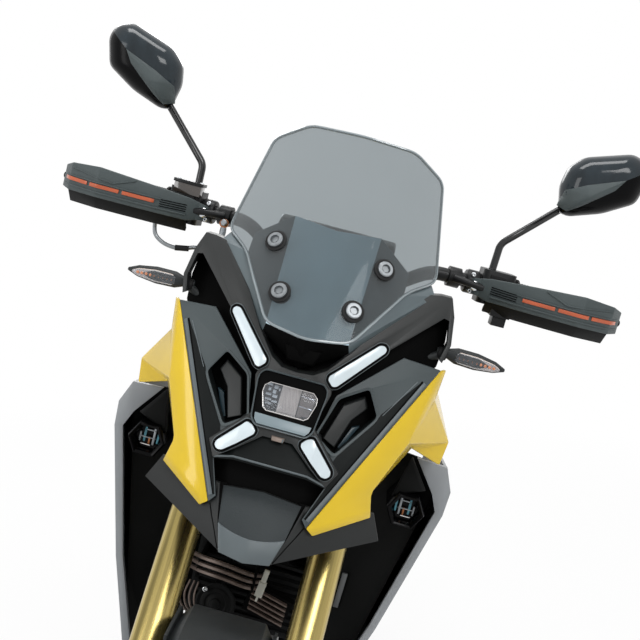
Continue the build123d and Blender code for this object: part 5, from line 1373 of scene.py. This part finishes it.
coil.make("shock_spring", [YELLOW, BLACK_METAL, STEEL], "chassis", smooth=50, replaces=["rear_shock"],
          slot="black_metal")

# bolts on the shrouds' sides
shroud_bolts = Form()
for x, y, z in ((247, -300, 840), (237, -300, 720), (207, -320, 600)):
    shroud_bolts.bolt((x, y, z), (1, 0, 0.05), 6.5, 0, 2.2)
shroud_bolts.mirrored().make("shroud_bolts", BLACK_METAL, "chassis")


# ------------------------------------------------------------------ stage
def seen_ray(tree, path):
    """1 for camera, glossy and transmission rays, which all see the white background."""
    ray = path.outputs["Is Camera Ray"]
    for name in ("Is Glossy Ray", "Is Transmission Ray"):
        either = tree.nodes.new("ShaderNodeMath")
        either.operation = "MAXIMUM"
        tree.links.new(ray, either.inputs[0])
        tree.links.new(path.outputs[name], either.inputs[1])
        ray = either.outputs[0]
    return ray


# white far away; near the motorcycle a shaded floor shows through a little
floor_mat = bpy.data.materials.new("floor")
add = shader_nodes(floor_mat)
tree = floor_mat.node_tree
far = add("VectorMath", {0: add("TexCoord").outputs["Object"]}, operation="LENGTH")
fade = add("MapRange", {"Value": far.outputs["Value"], "From Min": 1.2, "From Max": 3.6, "To Min": 0.88,
                        "To Max": 1.0})
share = add("Math", {1: fade.outputs[0]}, operation="MULTIPLY")
tree.links.new(seen_ray(tree, add("LightPath")), share.inputs[0])
diffuse = add("BsdfDiffuse", {0: (0.86, 0.86, 0.86, 1)})
glow = add("Emission", {0: (1, 1, 1, 1)})
mix = add("MixShader", {0: share.outputs[0], 1: diffuse.outputs[0], 2: glow.outputs[0]})
add("OutputMaterial", {0: mix.outputs[0]})
bpy.ops.mesh.primitive_plane_add(size=60, location=(0, 0, -0.0005))
floor = bpy.context.active_object
floor.name = "floor"
floor.data.materials.append(floor_mat)

world = bpy.data.worlds.new("studio")
bpy.context.scene.world = world
add = shader_nodes(world)
dim, white = [add("Background", {"Color": (1, 1, 1, 1), "Strength": strength}) for strength in (0.55, 1.0)]
seen = seen_ray(world.node_tree, add("LightPath"))
mix = add("MixShader", {0: seen, 1: dim.outputs[0], 2: white.outputs[0]})
add("OutputWorld", {0: mix.outputs[0]})


def lamp_panel(name, spot, aim, size, watts):
    """A rectangular area light that looks at a point."""
    light = bpy.data.lights.new(name, "AREA")
    light.shape = "RECTANGLE"
    light.size, light.size_y = size
    light.energy = watts
    holder = bpy.data.objects.new(name, light)
    bpy.context.scene.collection.objects.link(holder)
    holder.location = spot
    holder.rotation_euler = (Vector(aim) - Vector(spot)).to_track_quat("-Z", "Y").to_euler()


lamp_panel("key", (1.6, -2.8, 3.0), (0, -0.4, 0.9), (1.6, 1.0), 46)
lamp_panel("fill", (-2.4, -2.4, 1.8), (0, -0.4, 0.9), (1.0, 2.0), 26)
lamp_panel("top", (0, -0.3, 3.6), (0, -0.3, 0.9), (2.2, 0.7), 40)
lamp_panel("back", (-0.8, 2.6, 2.4), (0, 0, 0.8), (2.0, 1.0), 30)

# ------------------------------------------------------------------ camera
RIGHT = Vector((0.964132, 0.074036, 0.254887))
DOWN = Vector((0.26265, -0.127706, -0.956403))
AHEAD = Vector((-0.038257, 0.989045, -0.142571))
EYE = Vector((62.27, -1911.5, 1258.7))
eye = bpy.data.cameras.new("camera")
eye.lens = 56.33
eye.sensor_width = 36.0
eye.clip_start, eye.clip_end = 0.02, 100.0
view = bpy.data.objects.new("camera", eye)
bpy.context.scene.collection.objects.link(view)
axes = Matrix((RIGHT, -DOWN, -AHEAD)).transposed()
place = (tilt.to_3x3() @ axes).to_4x4()
place.translation = PARK @ EYE
view.matrix_world = place
bpy.context.scene.camera = view
bpy.context.scene.view_settings.view_transform = "Standard"
